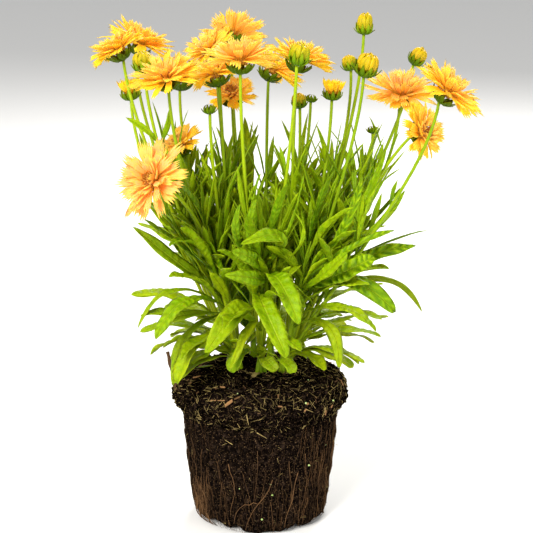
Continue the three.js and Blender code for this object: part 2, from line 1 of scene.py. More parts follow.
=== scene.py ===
# %% [markdown]
# # A flowering coreopsis with its root ball
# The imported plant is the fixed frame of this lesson: a moulded root ball, nine leafy shoots, sixteen
# open flowers and nine buds, all of them plain solids. Each one is stood for here by a finer piece
# of the same form, in the same place: leaves with veins, petals with teeth, roots and crumbs of soil.

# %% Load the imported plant
import json
import math

import bmesh
import bpy
from mathutils import Matrix, Vector, noise

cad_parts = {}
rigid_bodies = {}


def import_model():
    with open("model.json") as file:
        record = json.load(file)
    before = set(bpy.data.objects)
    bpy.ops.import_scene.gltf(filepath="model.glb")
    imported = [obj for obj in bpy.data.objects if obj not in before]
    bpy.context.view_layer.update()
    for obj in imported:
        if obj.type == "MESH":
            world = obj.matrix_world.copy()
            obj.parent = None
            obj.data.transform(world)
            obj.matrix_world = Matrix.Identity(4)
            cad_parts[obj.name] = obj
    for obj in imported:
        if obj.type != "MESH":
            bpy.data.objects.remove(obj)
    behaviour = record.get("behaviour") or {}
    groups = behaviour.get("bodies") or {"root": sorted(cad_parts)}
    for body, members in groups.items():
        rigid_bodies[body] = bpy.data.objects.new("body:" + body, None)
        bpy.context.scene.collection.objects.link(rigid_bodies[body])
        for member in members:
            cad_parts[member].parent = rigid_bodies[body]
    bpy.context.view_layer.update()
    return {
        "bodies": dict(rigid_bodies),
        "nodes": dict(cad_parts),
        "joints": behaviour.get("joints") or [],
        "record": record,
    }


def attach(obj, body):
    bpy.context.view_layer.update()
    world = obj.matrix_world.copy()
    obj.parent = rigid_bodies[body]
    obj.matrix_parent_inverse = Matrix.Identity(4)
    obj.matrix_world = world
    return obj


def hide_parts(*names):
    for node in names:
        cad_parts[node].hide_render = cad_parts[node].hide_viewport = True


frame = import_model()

# %% [markdown]
# ## Units, directions and chance
# The plant is planned in millimetres and made in metres, so every piece is scaled once, at its end.
# A plant looks grown because no two leaves are alike, and yet it has to grow the same way each time.
# So chance comes from a small rule that starts from a known number, the same rule that placed the
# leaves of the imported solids.

# %% Small helpers
MM = 0.001
GAP = 0.3
UP = Vector((0, 0, 1))
TO_FRONT = Vector((0, -1, 0))
TO_BACK = Vector((0, 1, 0))
RULE_FACTOR, RULE_SIZE = 48271, 2147483647


def make_random(seed):
    state = seed

    def draw(low, high):
        nonlocal state
        state = (state * RULE_FACTOR) % RULE_SIZE
        return low + (high - low) * (state / RULE_SIZE)
    return draw


def direction(azimuth, climb):
    a, c = math.radians(azimuth), math.radians(climb)
    return Vector((math.cos(a) * math.cos(c), math.sin(a) * math.cos(c), math.sin(c)))


def mixed(pair, share):
    return pair[0] + (pair[1] - pair[0]) * share


def clipped(value):
    return min(1, max(0, value))


print("first draw of the rule:", round(make_random(20417)(0, 1), 4))

# %% [markdown]
# ## The camera, the light and the floor
# They come first, because every later cell is judged through them. A long lens from a little above
# keeps the upright stalks straight. One broad soft light from the front left models the leaves, a
# weaker one fills the right, and one from behind shines through the petals.

# %% Camera
CAMERA_PLACE = Vector((4.8, -1250, 510))
CAMERA_PITCH = 14.36
LENS_ANGLE = 17.15


def add_thing(name, data):
    thing = bpy.data.objects.new(name, data)
    bpy.context.scene.collection.objects.link(thing)
    return thing


def make_camera():
    camera = add_thing("camera", bpy.data.cameras.new("camera"))
    camera.data.angle = math.radians(LENS_ANGLE)
    camera.data.clip_start = 0.05
    camera.location = CAMERA_PLACE * MM
    camera.rotation_euler = (math.radians(90 - CAMERA_PITCH), 0, 0)
    bpy.context.scene.camera = camera


make_camera()
print("camera at", [round(value, 3) for value in bpy.context.scene.camera.location])

# %% Light and floor
LIGHTS = {
    "key": {"at": (-0.8, -1.5, 1.3), "size": 0.9, "watts": 58, "color": (1.0, 0.97, 0.92)},
    "fill": {"at": (1.4, -0.9, 0.6), "size": 1.4, "watts": 11, "color": (1.0, 0.99, 0.96)},
    "rim": {"at": (0.4, 1.3, 1.3), "size": 1.0, "watts": 30, "color": (1.0, 0.98, 0.95)},
}
SKY = 0.55
LIGHT_AIM = Vector((0, 0, 0.2))


def make_light(name, at, size, watts, color):
    lamp = bpy.data.lights.new(name, "AREA")
    lamp.shape, lamp.size, lamp.energy, lamp.color = "DISK", size, watts, color
    thing = add_thing(name, lamp)
    thing.location = at
    thing.rotation_euler = (LIGHT_AIM - Vector(at)).to_track_quat("-Z", "Y").to_euler()


def mesh_of(work, name):
    mesh = bpy.data.meshes.new(name)
    work.to_mesh(mesh)
    work.free()
    return mesh


def set_sockets(node, values):
    for name, value in values.items():
        node.inputs[name].default_value = value


def make_floor():
    work = bmesh.new()
    bmesh.ops.create_grid(work, x_segments=1, y_segments=1, size=30)
    floor = add_thing("floor", mesh_of(work, "floor"))
    paper = bpy.data.materials.new("pale_paper")
    paper.use_nodes = True
    shader = paper.node_tree.nodes["Principled BSDF"]
    set_sockets(shader, {"Base Color": (0.86, 0.86, 0.85, 1), "Roughness": 0.9})
    floor.data.materials.append(paper)


for name, light in LIGHTS.items():
    make_light(name, **light)
make_floor()
world = bpy.data.worlds.new("studio")
world.use_nodes = True
set_sockets(world.node_tree.nodes["Background"], {"Color": (1, 1, 1, 1), "Strength": SKY})
bpy.context.scene.world = world
bpy.context.scene.view_settings.view_transform = "Standard"
print("lights:", len(LIGHTS), "and a sky of", SKY)

# %% [markdown]
# ## The plan of the plant
# These are the places that the solids were built from. A shoot keeps to its own wedge about the
# upright axis, between two azimuths, and its leafy stem ends at its crest. A head has the top of its
# stalk, the way it faces (azimuth, climb) and its radius. The leaves that one sees one by one, most of
# them at the front, have places of their own; the others grow by a rule.

# %% Shoots
def wedge(start, end, crown, crest):
    return {"middle": (start + end) / 2, "half": (end - start) / 2, "crown": crown, "crest": crest}


# Of each shoot: its two azimuths, how far out its crown stands, and its crest.
SHOOTS = {
    "front": wedge(237, 305, 17, (3, -33, 212)),
    "front_right": wedge(305, 338, 22, (36, -28, 216)),
    "right": wedge(338, 374, 22, (44, -2, 214)),
    "back_right": wedge(14, 49, 22, (34, 22, 216)),
    "right_back": wedge(49, 87, 21, (14, 32, 220)),
    "back": wedge(87, 119, 23, (-8, 40, 216)),
    "back_left": wedge(119, 155, 22, (-26, 26, 214)),
    "left": wedge(155, 193, 21, (-38, 2, 212)),
    "front_left": wedge(193, 237, 20, (-34, -24, 214)),
}
print("shoots:", len(SHOOTS))

# %% Flowers and buds
def head(shoot, foot, face, radius, **more):
    return {"shoot": shoot, "foot": foot, "face": face, "radius": radius, **more}


# neck and stand: how the end of a stalk bends below its head; blush: how pink the petals are.
BLOOMS = {
    "far_left": head("left", (-98, 15, 340), (178, 62), 20),
    "left_top": head("back_left", (-93, 75, 336), (20, 68), 26),
    "left_low": head("front_left", (-63, -35, 326), (232, 72), 24, turn=180),
    "left_back": head("back_left", (-60, 62, 311), (70, 72), 24),
    "middle_rear": head("back_left", (-33, 47, 336), (205, 56), 20),
    "middle_left": head("left", (-29, 10, 322), (165, 72), 22),
    "top_back": head("back", (-22, 105, 338), (85, 34), 24, blush=0.7),
    "middle_front": head("front", (-13, -55, 340), (80, 82), 26, blush=0.5),
    "middle_right": head("right_back", (5, 52, 320), (25, 58), 23),
    "right_inner": head("right", (26, -4, 334), (20, 74), 24),
    "back_low": head("back", (-21, 73, 299), (262, 60), 18),
    "front_left": head("front_left", (-68, -68, 266), (232, 24), 26, neck=50, stand=4, blush=1.0),
    "left_inner": head("left", (-53, 11, 273), (205, 50), 17),
    "right": head("right", (101, 16, 307), (285, 72), 26, blush=0.4),
    "far_right": head("front_right", (122, -63, 322), (350, 50), 25, blush=0.1),
    "right_low": head("right", (108, -24, 292), (322, 16), 19, neck=26, stand=14),
}
# open: 0 is a tight bud, 1 a bud whose petals stand open; a green bud has neither. ripe: 0 is a
# bud still held by its bracts, 1 a bud all golden above a low cup.
BUDS = {
    "left_front": head("left", (-81, -12, 335), (180, 80), 7.2, open=0, ripe=0.1),
    "left_low": head("left", (-94, 28, 309), (170, 82), 6.6, open=1, ripe=0.8),
    "middle_green": head("front_left", (-35, -22, 307), (200, 84), 4.6),
    "front_right": head("front", (26, -53, 346), (330, 78), 7.4, open=0, ripe=0.0),
    "top": head("right", (74, 9, 359), (30, 84), 7, open=0, ripe=0.3, slim=0.84),
    "right_front": head("front_right", (72, -38, 336), (335, 72), 8, open=0, ripe=1.0),
    "right_back": head("back_right", (66, 25, 331), (160, 74), 5.4, open=0, ripe=0.4),
    "far_right": head("back_right", (113, 48, 332), (10, 54), 6.6, open=0, ripe=1.0, slim=0.92),
    "inner_right": head("right", (51, -10, 315), (0, 84), 6.2, open=1, ripe=0.8),
    "inner_back": head("back_right", (29, 21, 304), (180, 82), 5.2, open=0, ripe=0.6),
    "back_green": head("right_back", (38, 66, 301), (40, 80), 4.2),
    "right_green": head("back_right", (83, 35, 283), (150, 82), 3.8),
}
print("flowers:", len(BLOOMS), "buds:", len(BUDS))

# %% The large leaves
# height: where the leaf leaves its stem; peak: the larger, the nearer the tip its widest place; blunt:
# the smaller, the rounder its tip; lean: how far its face leans to the front; age: -1 is young and
# quilted, 1 is old and yellow. Without an age, a leaf is older the lower it sits. The last three of
# the front shoot lie on the soil, in place of the rule's basal leaves.
LEAF_COLUMNS = ("height", "middle", "tip", "width", "peak", "blunt", "shade", "lean", "age", "quilt",
                "heading")
SHOWN_LEAVES = {
    "front": [
        (172, (2, -52, 176), (19, -75, 143), 17, 1.45, 0.42, 0.65, 0.2),
        (182, (12, -58, 196), (27, -84, 170), 16, 1.3, 0.42, 0.58, 0),
        (186, (-3, -60, 197), (-24, -82, 205), 11, 1.2, 0.6, 0.5, 2.6, 0.25),
        (194, (14, -54, 225), (-13, -80, 226), 12, 1.3, 0.6, 0.66, 1.8, 0.25),
        (190, (-3, -58, 209), (-19, -72, 219), 12, 1.3, 0.6, 0.3, 2.4, 0.2),
        (158, (-14, -48, 170), (-41, -72, 146), 16, 1.4, 0.5, 0.5, 0.5),
        (146, (-6, -50, 160), (-21, -70, 133), 9, 1.5, 0.55, 0.22, 0),
        (168, (16, -44, 186), (33, -62, 176), 9, 1.5, 0.55, 0.43, 0.8),
        (186, (-15, -56, 222), (-13, -64, 251), 6, 1.6, 0.7, 0.3, 1.0, 0.1, 0.9),
        (190, (-7, -56, 226), (-2, -62, 254), 6, 1.6, 0.7, 0.4, 1.0, 0.1, 0.9),
        (196, (24, -45, 232), (35, -50, 269), 5.5, 1.4, 0.8, 0.5, 0.3, 0.0),
        (200, (-4, -46, 238), (1, -52, 270), 6, 1.7, 0.7, 0.45, 0.4, 0.0, 1.2),
        (192, (30, -54, 220), (24, -60, 244), 3, 1.2, 0.55, 0.8, 0.3, 0.2),
        (127, (-12, -49, 140), (-20, -60, 128), 12, 1.8, 0.4, 0.3, 0.4, 0.35),
        (124, (4, -45, 133), (12, -56, 128), 11, 1.7, 0.36, 0.05, 0.5, 0.45),
        (122, (17, -50, 133), (23, -58, 127), 9, 1.9, 0.34, 0.35, 0.4, 0.5),
    ],
    "front_left": [
        (164, (-52, -54, 179), (-72, -76, 157), 14.5, 1.5, 0.6, 0.66, 0.9, 0.1),
        (148, (-44, -52, 146), (-58, -62, 120), 15, 1.5, 0.45, 0.72, 0.5),
        (160, (-53, -46, 149), (-62, -44, 113), 8, 1.2, 0.55, 0.43, 0.8),
        (172, (-52, -34, 196), (-89, -44, 230), 11, 1.3, 0.55, 0.18, 1.0),
        (196, (-48, -44, 218), (-62, -70, 222), 8, 1.3, 0.55, 0.5, 0.9),
        (164, (-62, -38, 182), (-86, -52, 158), 6, 1.2, 0.55, 0.58, 0.6),
        (159, (-50, -50, 168), (-66, -56, 163), 7, 1.3, 0.55, 0.43, 1.0),
        (190, (-48, -44, 213), (-64, -50, 244), 6.5, 1.3, 0.55, 0.2, 0.5, 0.0, 1.2),
        (186, (-56, -38, 216), (-81, -42, 235), 6, 1.3, 0.55, 0.15, 0.8, 0.0),
    ],
    "front_right": [
        (170, (60, -42, 190), (98, -42, 168), 13, 2.0, 0.36, 0.36, 1.2, 0.0, 1.4),
        (158, (58, -46, 172), (82, -56, 157), 10.5, 1.4, 0.55, 0.58, 0.8, 0.64, 1.2),
        (150, (48, -50, 160), (56, -60, 131), 10, 1.4, 0.5, 0.36, 0.6),
        (178, (56, -46, 196), (80, -56, 211), 16, 1.3, 0.4, 0.62, 1.8, -0.5, 2.0),
        (176, (45, -54, 199), (60, -72, 218), 9.5, 1.3, 0.45, 0.8, 1.6, 0.2),
        (188, (57, -46, 226), (71, -48, 267), 6.5, 1.6, 0.6, 0.6, 1.2, -0.5, 1.8),
        (184, (62, -44, 213), (95, -46, 228), 6.5, 1.5, 0.6, 0.6, 1.2, -0.3, 1.4),
    ],
    "right": [
        (176, (74, -19, 201), (112, -22, 211), 11, 1.4, 0.7, 0.5, 1.6, -0.5, 1.8),
        (192, (68, -15, 228), (90, -16, 280), 7.5, 1.5, 0.9, 0.62, 1.0, 0.0),
        (184, (65, -18, 218), (90, -22, 263), 6, 1.4, 0.9, 0.42, 0.8, 0.0),
        (188, (78, -8, 216), (104, -10, 249), 5.5, 1.7, 0.6, 0.6, 1.0, -0.4, 1.8),
        (190, (74, 2, 216), (102, 5, 248), 3.6, 1.3, 0.55, 0.2, 0.6, 0.0),
        (180, (88, 0, 206), (122, 0, 217), 3, 1.2, 0.55, 0.1, 0.8, 0.0),
        (160, (86, 4, 180), (120, 8, 153), 6, 1.2, 0.55, 0.14, 0.6),
    ],
    "right_back": [
        (136, (8, 34, 160), (16, 26, 194), 15, 1.2, 0.6, 0.05, 1.0, 0.0),
    ],
    "back": [
        (134, (-6, 36, 156), (-6, 28, 190), 15, 1.2, 0.6, 0.0, 1.0, 0.0),
        (130, (-15, 38, 150), (-20, 34, 180), 15, 1.2, 0.6, 0.1, 1.0, 0.0),
        (150, (-14, 36, 170), (-12, 26, 204), 13, 1.2, 0.6, 0.1, 1.0, 0.0),
    ],
}
BARE_CROWNS = ("front",)
# The small leaves that stand high on the stalk of a bud.
PERCHED_LEAVES = {
    "left_front": [
        (280, (-79, -12, 291), (-95, -12, 302), 5, 1.5, 0.55, 0.8, 1.0, 0, 1.0, 180),
        (281, (-66, -14, 294), (-64, -16, 308), 4.4, 1.3, 0.55, 0.6, 1.6, 0, 1.0, 250),
        (268, (-69, -8, 286), (-76, -12, 314), 2.2, 1.4, 0.55, 0.1, 1.0, 0, 1.0, 180),
    ],
}
print("large leaves:", sum(len(leaves) for leaves in SHOWN_LEAVES.values()))

# %% [markdown]
# ## One shape, bent many times
# Leaves, petals, bracts, stalks and roots are all long things that are bent and widened along a
# line. So a flat blade and a straight rod are made once with mesh operators, as templates. A blade
# is a grid and its turned copy, which meet at the rim, so it is closed and a little thick in the
# middle. A rod is a long drum cut into rings. Each real leaf or root is then a pasted template whose
# points are moved into place. Every point keeps its lay, which is where it sits across and along its
# leaf and that leaf's own shade, and the finishes read it.

# %% Templates
LAY = "lay"
ROD_RINGS, ROOT_RINGS = 20, 7


def keep_template(work, name):
    mesh = mesh_of(work, name)
    print(name, "faces:", len(mesh.polygons))
    return mesh


def blade_template(name, columns, stations):
    work = bmesh.new()
    rows = len(stations) - 1
    bmesh.ops.create_grid(work, x_segments=columns, y_segments=rows, size=1)
    inner = [vert for vert in work.verts if not vert.is_boundary]
    for vert in work.verts:
        vert.co.y = stations[round((vert.co.y + 1) / 2 * rows)]
    copy = bmesh.ops.duplicate(work, geom=work.verts[:] + work.edges[:] + work.faces[:])["geom"]
    under = [thing for thing in copy if isinstance(thing, bmesh.types.BMFace)]
    bmesh.ops.reverse_faces(work, faces=under)
    low = {vert for face in under for vert in face.verts if not vert.is_boundary}
    bmesh.ops.translate(work, vec=(0, 0, 1), verts=inner)
    bmesh.ops.translate(work, vec=(0, 0, -1), verts=list(low))
    bmesh.ops.remove_doubles(work, verts=work.verts[:], dist=0.0001)
    return keep_template(work, name)


def rod_template(name, sides, rings):
    work = bmesh.new()
    turn = Matrix.Rotation(math.radians(-90), 4, "X") @ Matrix.Translation((0, 0, 0.5))
    bmesh.ops.create_cone(work, cap_ends=True, segments=sides, radius1=1, radius2=1, depth=1, matrix=turn)
    for ring in range(1, rings):
        everything = work.verts[:] + work.edges[:] + work.faces[:]
        bmesh.ops.bisect_plane(work, geom=everything, plane_co=(0, ring / rings, 0), plane_no=(0, 1, 0))
    return keep_template(work, name)


def even(rows):
    return [row / rows for row in range(rows + 1)]


PETAL = blade_template("petal", 8, [0, 0.35, 0.7, 0.9, 1])
SLIM_BLADE = blade_template("slim_blade", 2, [0, 0.14, 0.3, 0.46, 0.62, 0.76, 0.88, 0.96, 1])
BRACT_BLADE = blade_template("bract_blade", 8, even(6))
FILL_BLADE = blade_template("fill_blade", 4, even(10))
BROAD_BLADE = blade_template("broad_blade", 6, even(50))
STALK_ROD = rod_template("stalk_rod", 8, ROD_RINGS)
ROOT_ROD = rod_template("root_rod", 4, ROOT_RINGS)

# %% Pasting a template
def new_piece():
    work = bmesh.new()
    work.verts.layers.float_color.new(LAY)
    return work


def paste(work, template, place, finish=0, shade=0.5, extra=0.0, under=0.0):
    """Pastes a template, moves each point by place(across, along, side) and pales its underside."""
    first_vert, first_face = len(work.verts), len(work.faces)
    work.from_mesh(template)
    work.verts.ensure_lookup_table()
    work.faces.ensure_lookup_table()
    lay = work.verts.layers.float_color[LAY]
    for vert in work.verts[first_vert:]:
        across, along, side = vert.co
        vert[lay] = (across / 2 + 0.5, along, shade + (under if side < 0 else 0), extra)
        vert.co = place(across, along, side)
    for face in work.faces[first_face:]:
        face.material_index = finish
        face.smooth = True


def finish_piece(work, name, node, materials):
    bmesh.ops.scale(work, vec=(MM, MM, MM), verts=work.verts[:])
    mesh = mesh_of(work, name)
    for material in materials:
        mesh.materials.append(material)
    piece = add_thing(name, mesh)
    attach(piece, "root")
    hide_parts(node)
    corners = [max(vert.co[axis] for vert in mesh.vertices) for axis in range(3)]
    print(name, "faces:", len(mesh.polygons), "reaches:", [round(corner, 3) for corner in corners])


# %% Lines to bend along
def line_through(points):
    """Reads a list of points as a line from 0 to 1."""
    def at(share):
        place = clipped(share) * (len(points) - 1)
        number = min(int(place), len(points) - 2)
        return points[number].lerp(points[number + 1], place - number)
    return at


def frames_along(line, rows, upward, level=Vector()):
    """The point and the across, along and up directions at each row of a line."""
    points = [line(row / rows) for row in range(rows + 1)]
    frames = []
    for row, point in enumerate(points):
        along = (points[min(row + 1, rows)] - points[max(row - 1, 0)]).normalized()
        across = along.cross(upward) + level
        across = (across - along * across.dot(along)).normalized()
        frames.append((point, across, along, across.cross(along)))
    return frames


def add_rod(work, template, points, upward, radius_of, finish, shade):
    """Pastes a rod along a line of points; upward is any direction that the line never takes."""
    rings = ROD_RINGS if template is STALK_ROD else ROOT_RINGS
    frames = frames_along(line_through(points), rings, upward)

    def place(across, along, side):
        point, right, _, up = frames[round(along * rings)]
        radius = radius_of(along)
        return point + right * across * radius + up * side * radius
    paste(work, template, place, finish, shade)


print("a line of two points at half way:", tuple(line_through([Vector((0, 0, 0)), UP])(0.5)))

# %% [markdown]
# ## Keeping to the plan
# Two habits keep the plant tidy. A shoot's stalks and large leaves stay in its wedge, so that
# neighbours never cross, and a leaf over the soil stays a little above it. Both are the rules of the
# solids. The fine leaves that fill the plant are free to reach over a wedge.

# %% Wedges and soil
BALL = {"foot": 46, "lip": 64.5, "rim": 107, "mound": 115}
SOIL_CLEARANCE = 2.6
PAST_LIP = 4
WEDGE_ROUNDNESS = 6


def soil_height(radius):
    return BALL["rim"] + (BALL["mound"] - BALL["rim"]) * (1 - min(1, radius / BALL["lip"]) ** 2)


def keep_in_wedge(point, shoot, margin):
    half = math.radians(shoot["half"])
    out = direction(shoot["middle"], 0)
    across = Vector((-out.y, out.x, 0))
    reach = max(point.dot(out), margin / math.sin(half) + 0.01)
    limit = reach * math.tan(half) - margin / math.cos(half)
    wish = point.dot(across) / limit
    side = limit * wish / (1 + abs(wish) ** WEDGE_ROUNDNESS) ** (1 / WEDGE_ROUNDNESS)
    place = out * reach + across * side
    return Vector((place.x, place.y, point.z))


def keep_off_soil(point):
    radius = math.hypot(point.x, point.y)
    floor = soil_height(radius) + SOIL_CLEARANCE
    if radius < BALL["lip"] + PAST_LIP and point.z < floor:
        return Vector((point.x, point.y, floor))
    return point


print("soil at the crown:", round(soil_height(20), 1), "mm")

# %% Stalks and stems
CROWN_INSIDE = 119
STALK = {"radius": 1.4, "dressed": (1.45, 1.05), "neck": 10, "stand": 42, "bow": 14}
STEM = {"radius": 2.2, "dressed": (2.2, 1.1), "bow": 3}
# The place of each finish in the list of a shoot's materials.
GREEN = {"leaf": 0, "stalk": 1, "cup": 2, "slim_leaf": 3}


def crown_point(shoot, height):
    return direction(shoot["middle"], 0) * shoot["crown"] + UP * height


def bezier(a, b, c, d, share):
    rest = 1 - share
    return a * rest**3 + b * 3 * rest**2 * share + c * 3 * rest * share**2 + d * share**3


def rod_points(corners, shoot, radius):
    points = [bezier(*corners, ring / ROD_RINGS) for ring in range(ROD_RINGS + 1)]
    return [keep_in_wedge(point, shoot, radius + GAP) for point in points]


def stalk_points(head, shoot):
    root = crown_point(shoot, CROWN_INSIDE)
    foot = Vector(head["foot"])
    upper = foot - direction(*head["face"]) * head.get("neck", STALK["neck"])
    upper.z -= head.get("stand", STALK["stand"])
    lower = root.lerp(upper, 0.5) + UP * STALK["bow"]
    return rod_points((root, lower, upper, foot), shoot, STALK["radius"])


def stem_points(shoot):
    root = crown_point(shoot, CROWN_INSIDE)
    crest = Vector(shoot["crest"])
    lower = root.lerp(crest, 0.33)
    upper = root.lerp(crest, 0.7) + UP * STEM["bow"]
    return rod_points((root, lower, upper, crest), shoot, STEM["radius"])


def point_at_height(points, height):
    number = next((i for i, point in enumerate(points) if point.z > height), len(points) - 1)
    low, high = points[max(number, 1) - 1], points[max(number, 1)]
    return low.lerp(high, (height - low.z) / (high.z - low.z))


def add_stalk(work, points, radii, shade):
    add_rod(work, STALK_ROD, points, TO_BACK, lambda along: mixed(radii, along), GREEN["stalk"],
            shade)


print("a stalk's joints:", len(stalk_points(BLOOMS["right"], SHOOTS["right"])))

# %% [markdown]
# ## Leaves
# A coreopsis leaf is a long spoon: a narrow foot, its widest place beyond the middle, a blunt tip,
# a folded midrib and a surface quilted between its side veins. It could be drawn as a flat picture
# on a card, but a card has no edge and no fold from the side. So each leaf is a blade bent along its
# own line, and the quilting of the large ones is real relief.

# %% Leaf shapes
LEAF = {"thick": 0.28, "fold": 0.4, "quilt": 0.55, "wave": 0.9, "sunk": 1.6, "least": 0.75, "paler": 0.25,
        "level": 0.25, "twist": 26, "loose_twist": 60}
LEAF_STEPS, GROWN_STEPS = 50, 12
YOUNG_FROM, OLD_TO = 190, 140
# The quilts between the side veins: how many, how far they slant, and how they stray.
QUILTS = {"count": 11, "slant": 0.7, "stray": 0.3, "run": 17}


def leaf_half_width(leaf, share):
    """Narrow at its foot, widest beyond the middle; the smaller "blunt" is, the rounder its tip."""
    if share >= 1:
        return 0
    swell = math.sin(math.pi * share ** leaf["peak"])
    beyond = share ** leaf["peak"] > 0.5
    half = leaf["width"] / 2 * swell ** (leaf.get("blunt", 0.55) if beyond else 0.95)
    return half if beyond else max(half, LEAF["least"])


def grown_line(leaf):
    """A leaf that sets out at a heading and a climb, droops and turns."""
    points = [leaf["root"].copy()]
    for step in range(GROWN_STEPS):
        share = (step + 0.5) / GROWN_STEPS
        heading = leaf["heading"] + leaf["turn"] * share
        climb = leaf["climb"] - leaf["droop"] * share**1.4
        points.append(points[-1] + direction(heading, climb) * leaf["length"] / GROWN_STEPS)
    return line_through(points)


def shown_line(leaf):
    root, middle, tip = leaf["root"], Vector(leaf["middle"]), Vector(leaf["tip"])
    control = middle * 2 - (root + tip) / 2
    return lambda share: root * (1 - share) ** 2 + control * 2 * share * (1 - share) + tip * share**2


def placed_leaf(row, points):
    """A leaf of the tables on its stem; unless it has an age, it is older the lower it sits."""
    leaf = dict(zip(LEAF_COLUMNS, row))
    age = clipped((YOUNG_FROM - leaf["height"]) / (YOUNG_FROM - OLD_TO))
    return {"age": age, **leaf, "root": point_at_height(points, leaf["height"])}


def quilt_at(edge, along, shade):
    """Bulges of a leaf, 1 on a bulge and -1 in a vein; the finish works out the same pattern."""
    stray = QUILTS["stray"] * math.sin(along * QUILTS["run"] + shade * 2 * math.pi)
    run = along * QUILTS["count"] - edge * QUILTS["slant"] + stray
    return math.sin(2 * math.pi * run) * edge * (1 - edge) * 4


def add_leaf(work, template, leaf, shoot, random, bound=True):
    """Pastes a leaf along its line; a bound one keeps to the wedge of its shoot."""
    line = shown_line(leaf) if "tip" in leaf else grown_line(leaf)
    facing = shoot["middle"] if bound else leaf["heading"]
    level = direction(facing - 90, 0) * LEAF["level"]
    upward = UP + TO_FRONT * leaf.get("lean", 0)

    def kept(share):
        point = line(share)
        if share == 0:
            return point - (line(0.05) - line(0)).normalized() * LEAF["sunk"]
        if bound:
            point = keep_in_wedge(point, shoot, leaf_half_width(leaf, share) + GAP)
        return keep_off_soil(point)

    frames = frames_along(kept, LEAF_STEPS, upward, level)
    phase, waves = random(0, 6.28), random(2.2, 3.6)
    most = LEAF["twist" if bound else "loose_twist"]
    twist = math.radians(random(-most, most))
    fold, curl = LEAF["fold"] + random(-0.15, 0.2), random(-0.5, 0.15)
    shade = leaf.get("shade", random(0, 1))
    quilted = leaf.get("quilt", 1 - 0.7 * leaf.get("age", 0.0))
    broad = min(1.2, leaf["width"] / 10)

    def place(across, along, side):
        point, right, _, up = frames[round(along * LEAF_STEPS)]
        turn = twist * along
        wide = right * math.cos(turn) + up * math.sin(turn)
        high = up * math.cos(turn) - right * math.sin(turn)
        half = leaf_half_width(leaf, along)
        slim = min(1, half / 3)
        edge = abs(across)
        quilt = quilt_at(edge, along, shade)
        wave = math.sin(6.28 * waves * along + phase + across) * edge**2
        lift = half * (edge * fold + edge**3 * curl) + side * LEAF["thick"] * min(1, half)
        lift += broad * slim * (quilt * LEAF["quilt"] * quilted + wave * LEAF["wave"])
        return point + wide * across * half + high * lift

    finish = GREEN["leaf" if template is BROAD_BLADE else "slim_leaf"]
    paste(work, template, place, finish, shade, leaf.get("age", 0.0), LEAF["paler"])


# %% [markdown]
# ### How leaves grow
# Three kinds of leaves are the leaves of the solids, drawn in the same order from the same rule:
# basal leaves, leaves of the leafy stem and one leaf on each stalk. Living shoots carry many more:
# short ones round the crown, opposite pairs up every stalk and slim bright ones at the top. Those fill
# the plant between the others, and only the dressed plant has them.

# %% Growth rules
# Of each kind of leaf: how many, where it starts, how far its heading swings, what is drawn for it, in
# that order, and what all of its kind share.
BASAL_LEAF = {"count": 3, "start": (122, 129), "swing": (-5, 5),
              "drawn": {"climb": (18, 44), "droop": (52, 76), "turn": (-14, 14), "length": (46, 72),
                        "width": (10, 14)},
              "shared": {"peak": 1.75, "age": 0.8, "blunt": 0.45}}
STALK_LEAF = {"start": (165, 220), "swing": (10, 60),
              "drawn": {"climb": (62, 80), "droop": (2, 26), "turn": (-20, 20), "length": (46, 74),
                        "width": (5, 7.2)},
              "shared": {"peak": 1.2}}
STEM_LEAF = {"count": 6, "foot": 126, "below_crest": 4, "beyond_wedge": 12}
# The shape of a stem leaf at the foot and at the crest of the stem, and how far one strays from it.
STEM_SHAPE = {"climb": ((26, 74), (-9, 9)), "droop": ((62, 18), (-8, 8)), "turn": ((0, 0), (-18, 18)),
              "length": ((70, 84), (-10, 8)), "width": ((13, 7.5), (-1.5, 1.5))}
GREEN_BUD = 5
BUD_SLIMNESS = 0.9


def bud_radius(head):
    return head["radius"] * BUD_SLIMNESS * head.get("slim", 1)


def grown_leaf(rule, root, heading, random):
    drawn = {name: random(*limits) for name, limits in rule["drawn"].items()}
    return {"root": root, "heading": heading, **drawn, **rule["shared"]}


def basal_leaf(shoot, share, random):
    root = crown_point(shoot, random(*BASAL_LEAF["start"]))
    heading = shoot["middle"] + (2 * share - 1) * shoot["half"] + random(*BASAL_LEAF["swing"])
    return grown_leaf(BASAL_LEAF, root, heading, random)


def stem_leaf(shoot, stem, share, random):
    rise = shoot["crest"][2] - STEM_LEAF["below_crest"] - STEM_LEAF["foot"]
    heading = shoot["middle"] + random(-1, 1) * (shoot["half"] + STEM_LEAF["beyond_wedge"])
    shape = {name: mixed(ends, share) + random(*stray) for name, (ends, stray) in STEM_SHAPE.items()}
    return {**shape, "root": point_at_height(stem, STEM_LEAF["foot"] + rise * share), "heading": heading,
            "peak": mixed((1.55, 1.25), share), "blunt": mixed((0.5, 0.8), share), "age": 0.6 * (1 - share)}


def stalk_leaf(shoot, stalk, side, random):
    root = point_at_height(stalk, random(*STALK_LEAF["start"]))
    heading = shoot["middle"] + side * random(*STALK_LEAF["swing"])
    return grown_leaf(STALK_LEAF, root, heading, random)


print("leaves of a shoot by rule:", BASAL_LEAF["count"] + STEM_LEAF["count"])

# %% Filling leaves
# How many pairs of leaves stand on a stem or stalk, and from what height to what height.
PAIRS = {"stem": (4, (170, 212)), "stalk": (7, (172, 244)), "front_stalk": (6, (154, 226))}
FRONT_SHOOTS = ("front", "front_left", "front_right")
# A slim bright leaf that stands up among the stalks at the top of the foliage.
CREST_LEAF = {"count": 10, "start": (178, 208),
              "drawn": {"climb": (60, 84), "droop": (-8, 16), "turn": (-20, 20), "length": (44, 66),
                        "width": (2.0, 4.0)},
              "shared": {"peak": 1.2, "blunt": 0.85, "age": 0.15}}
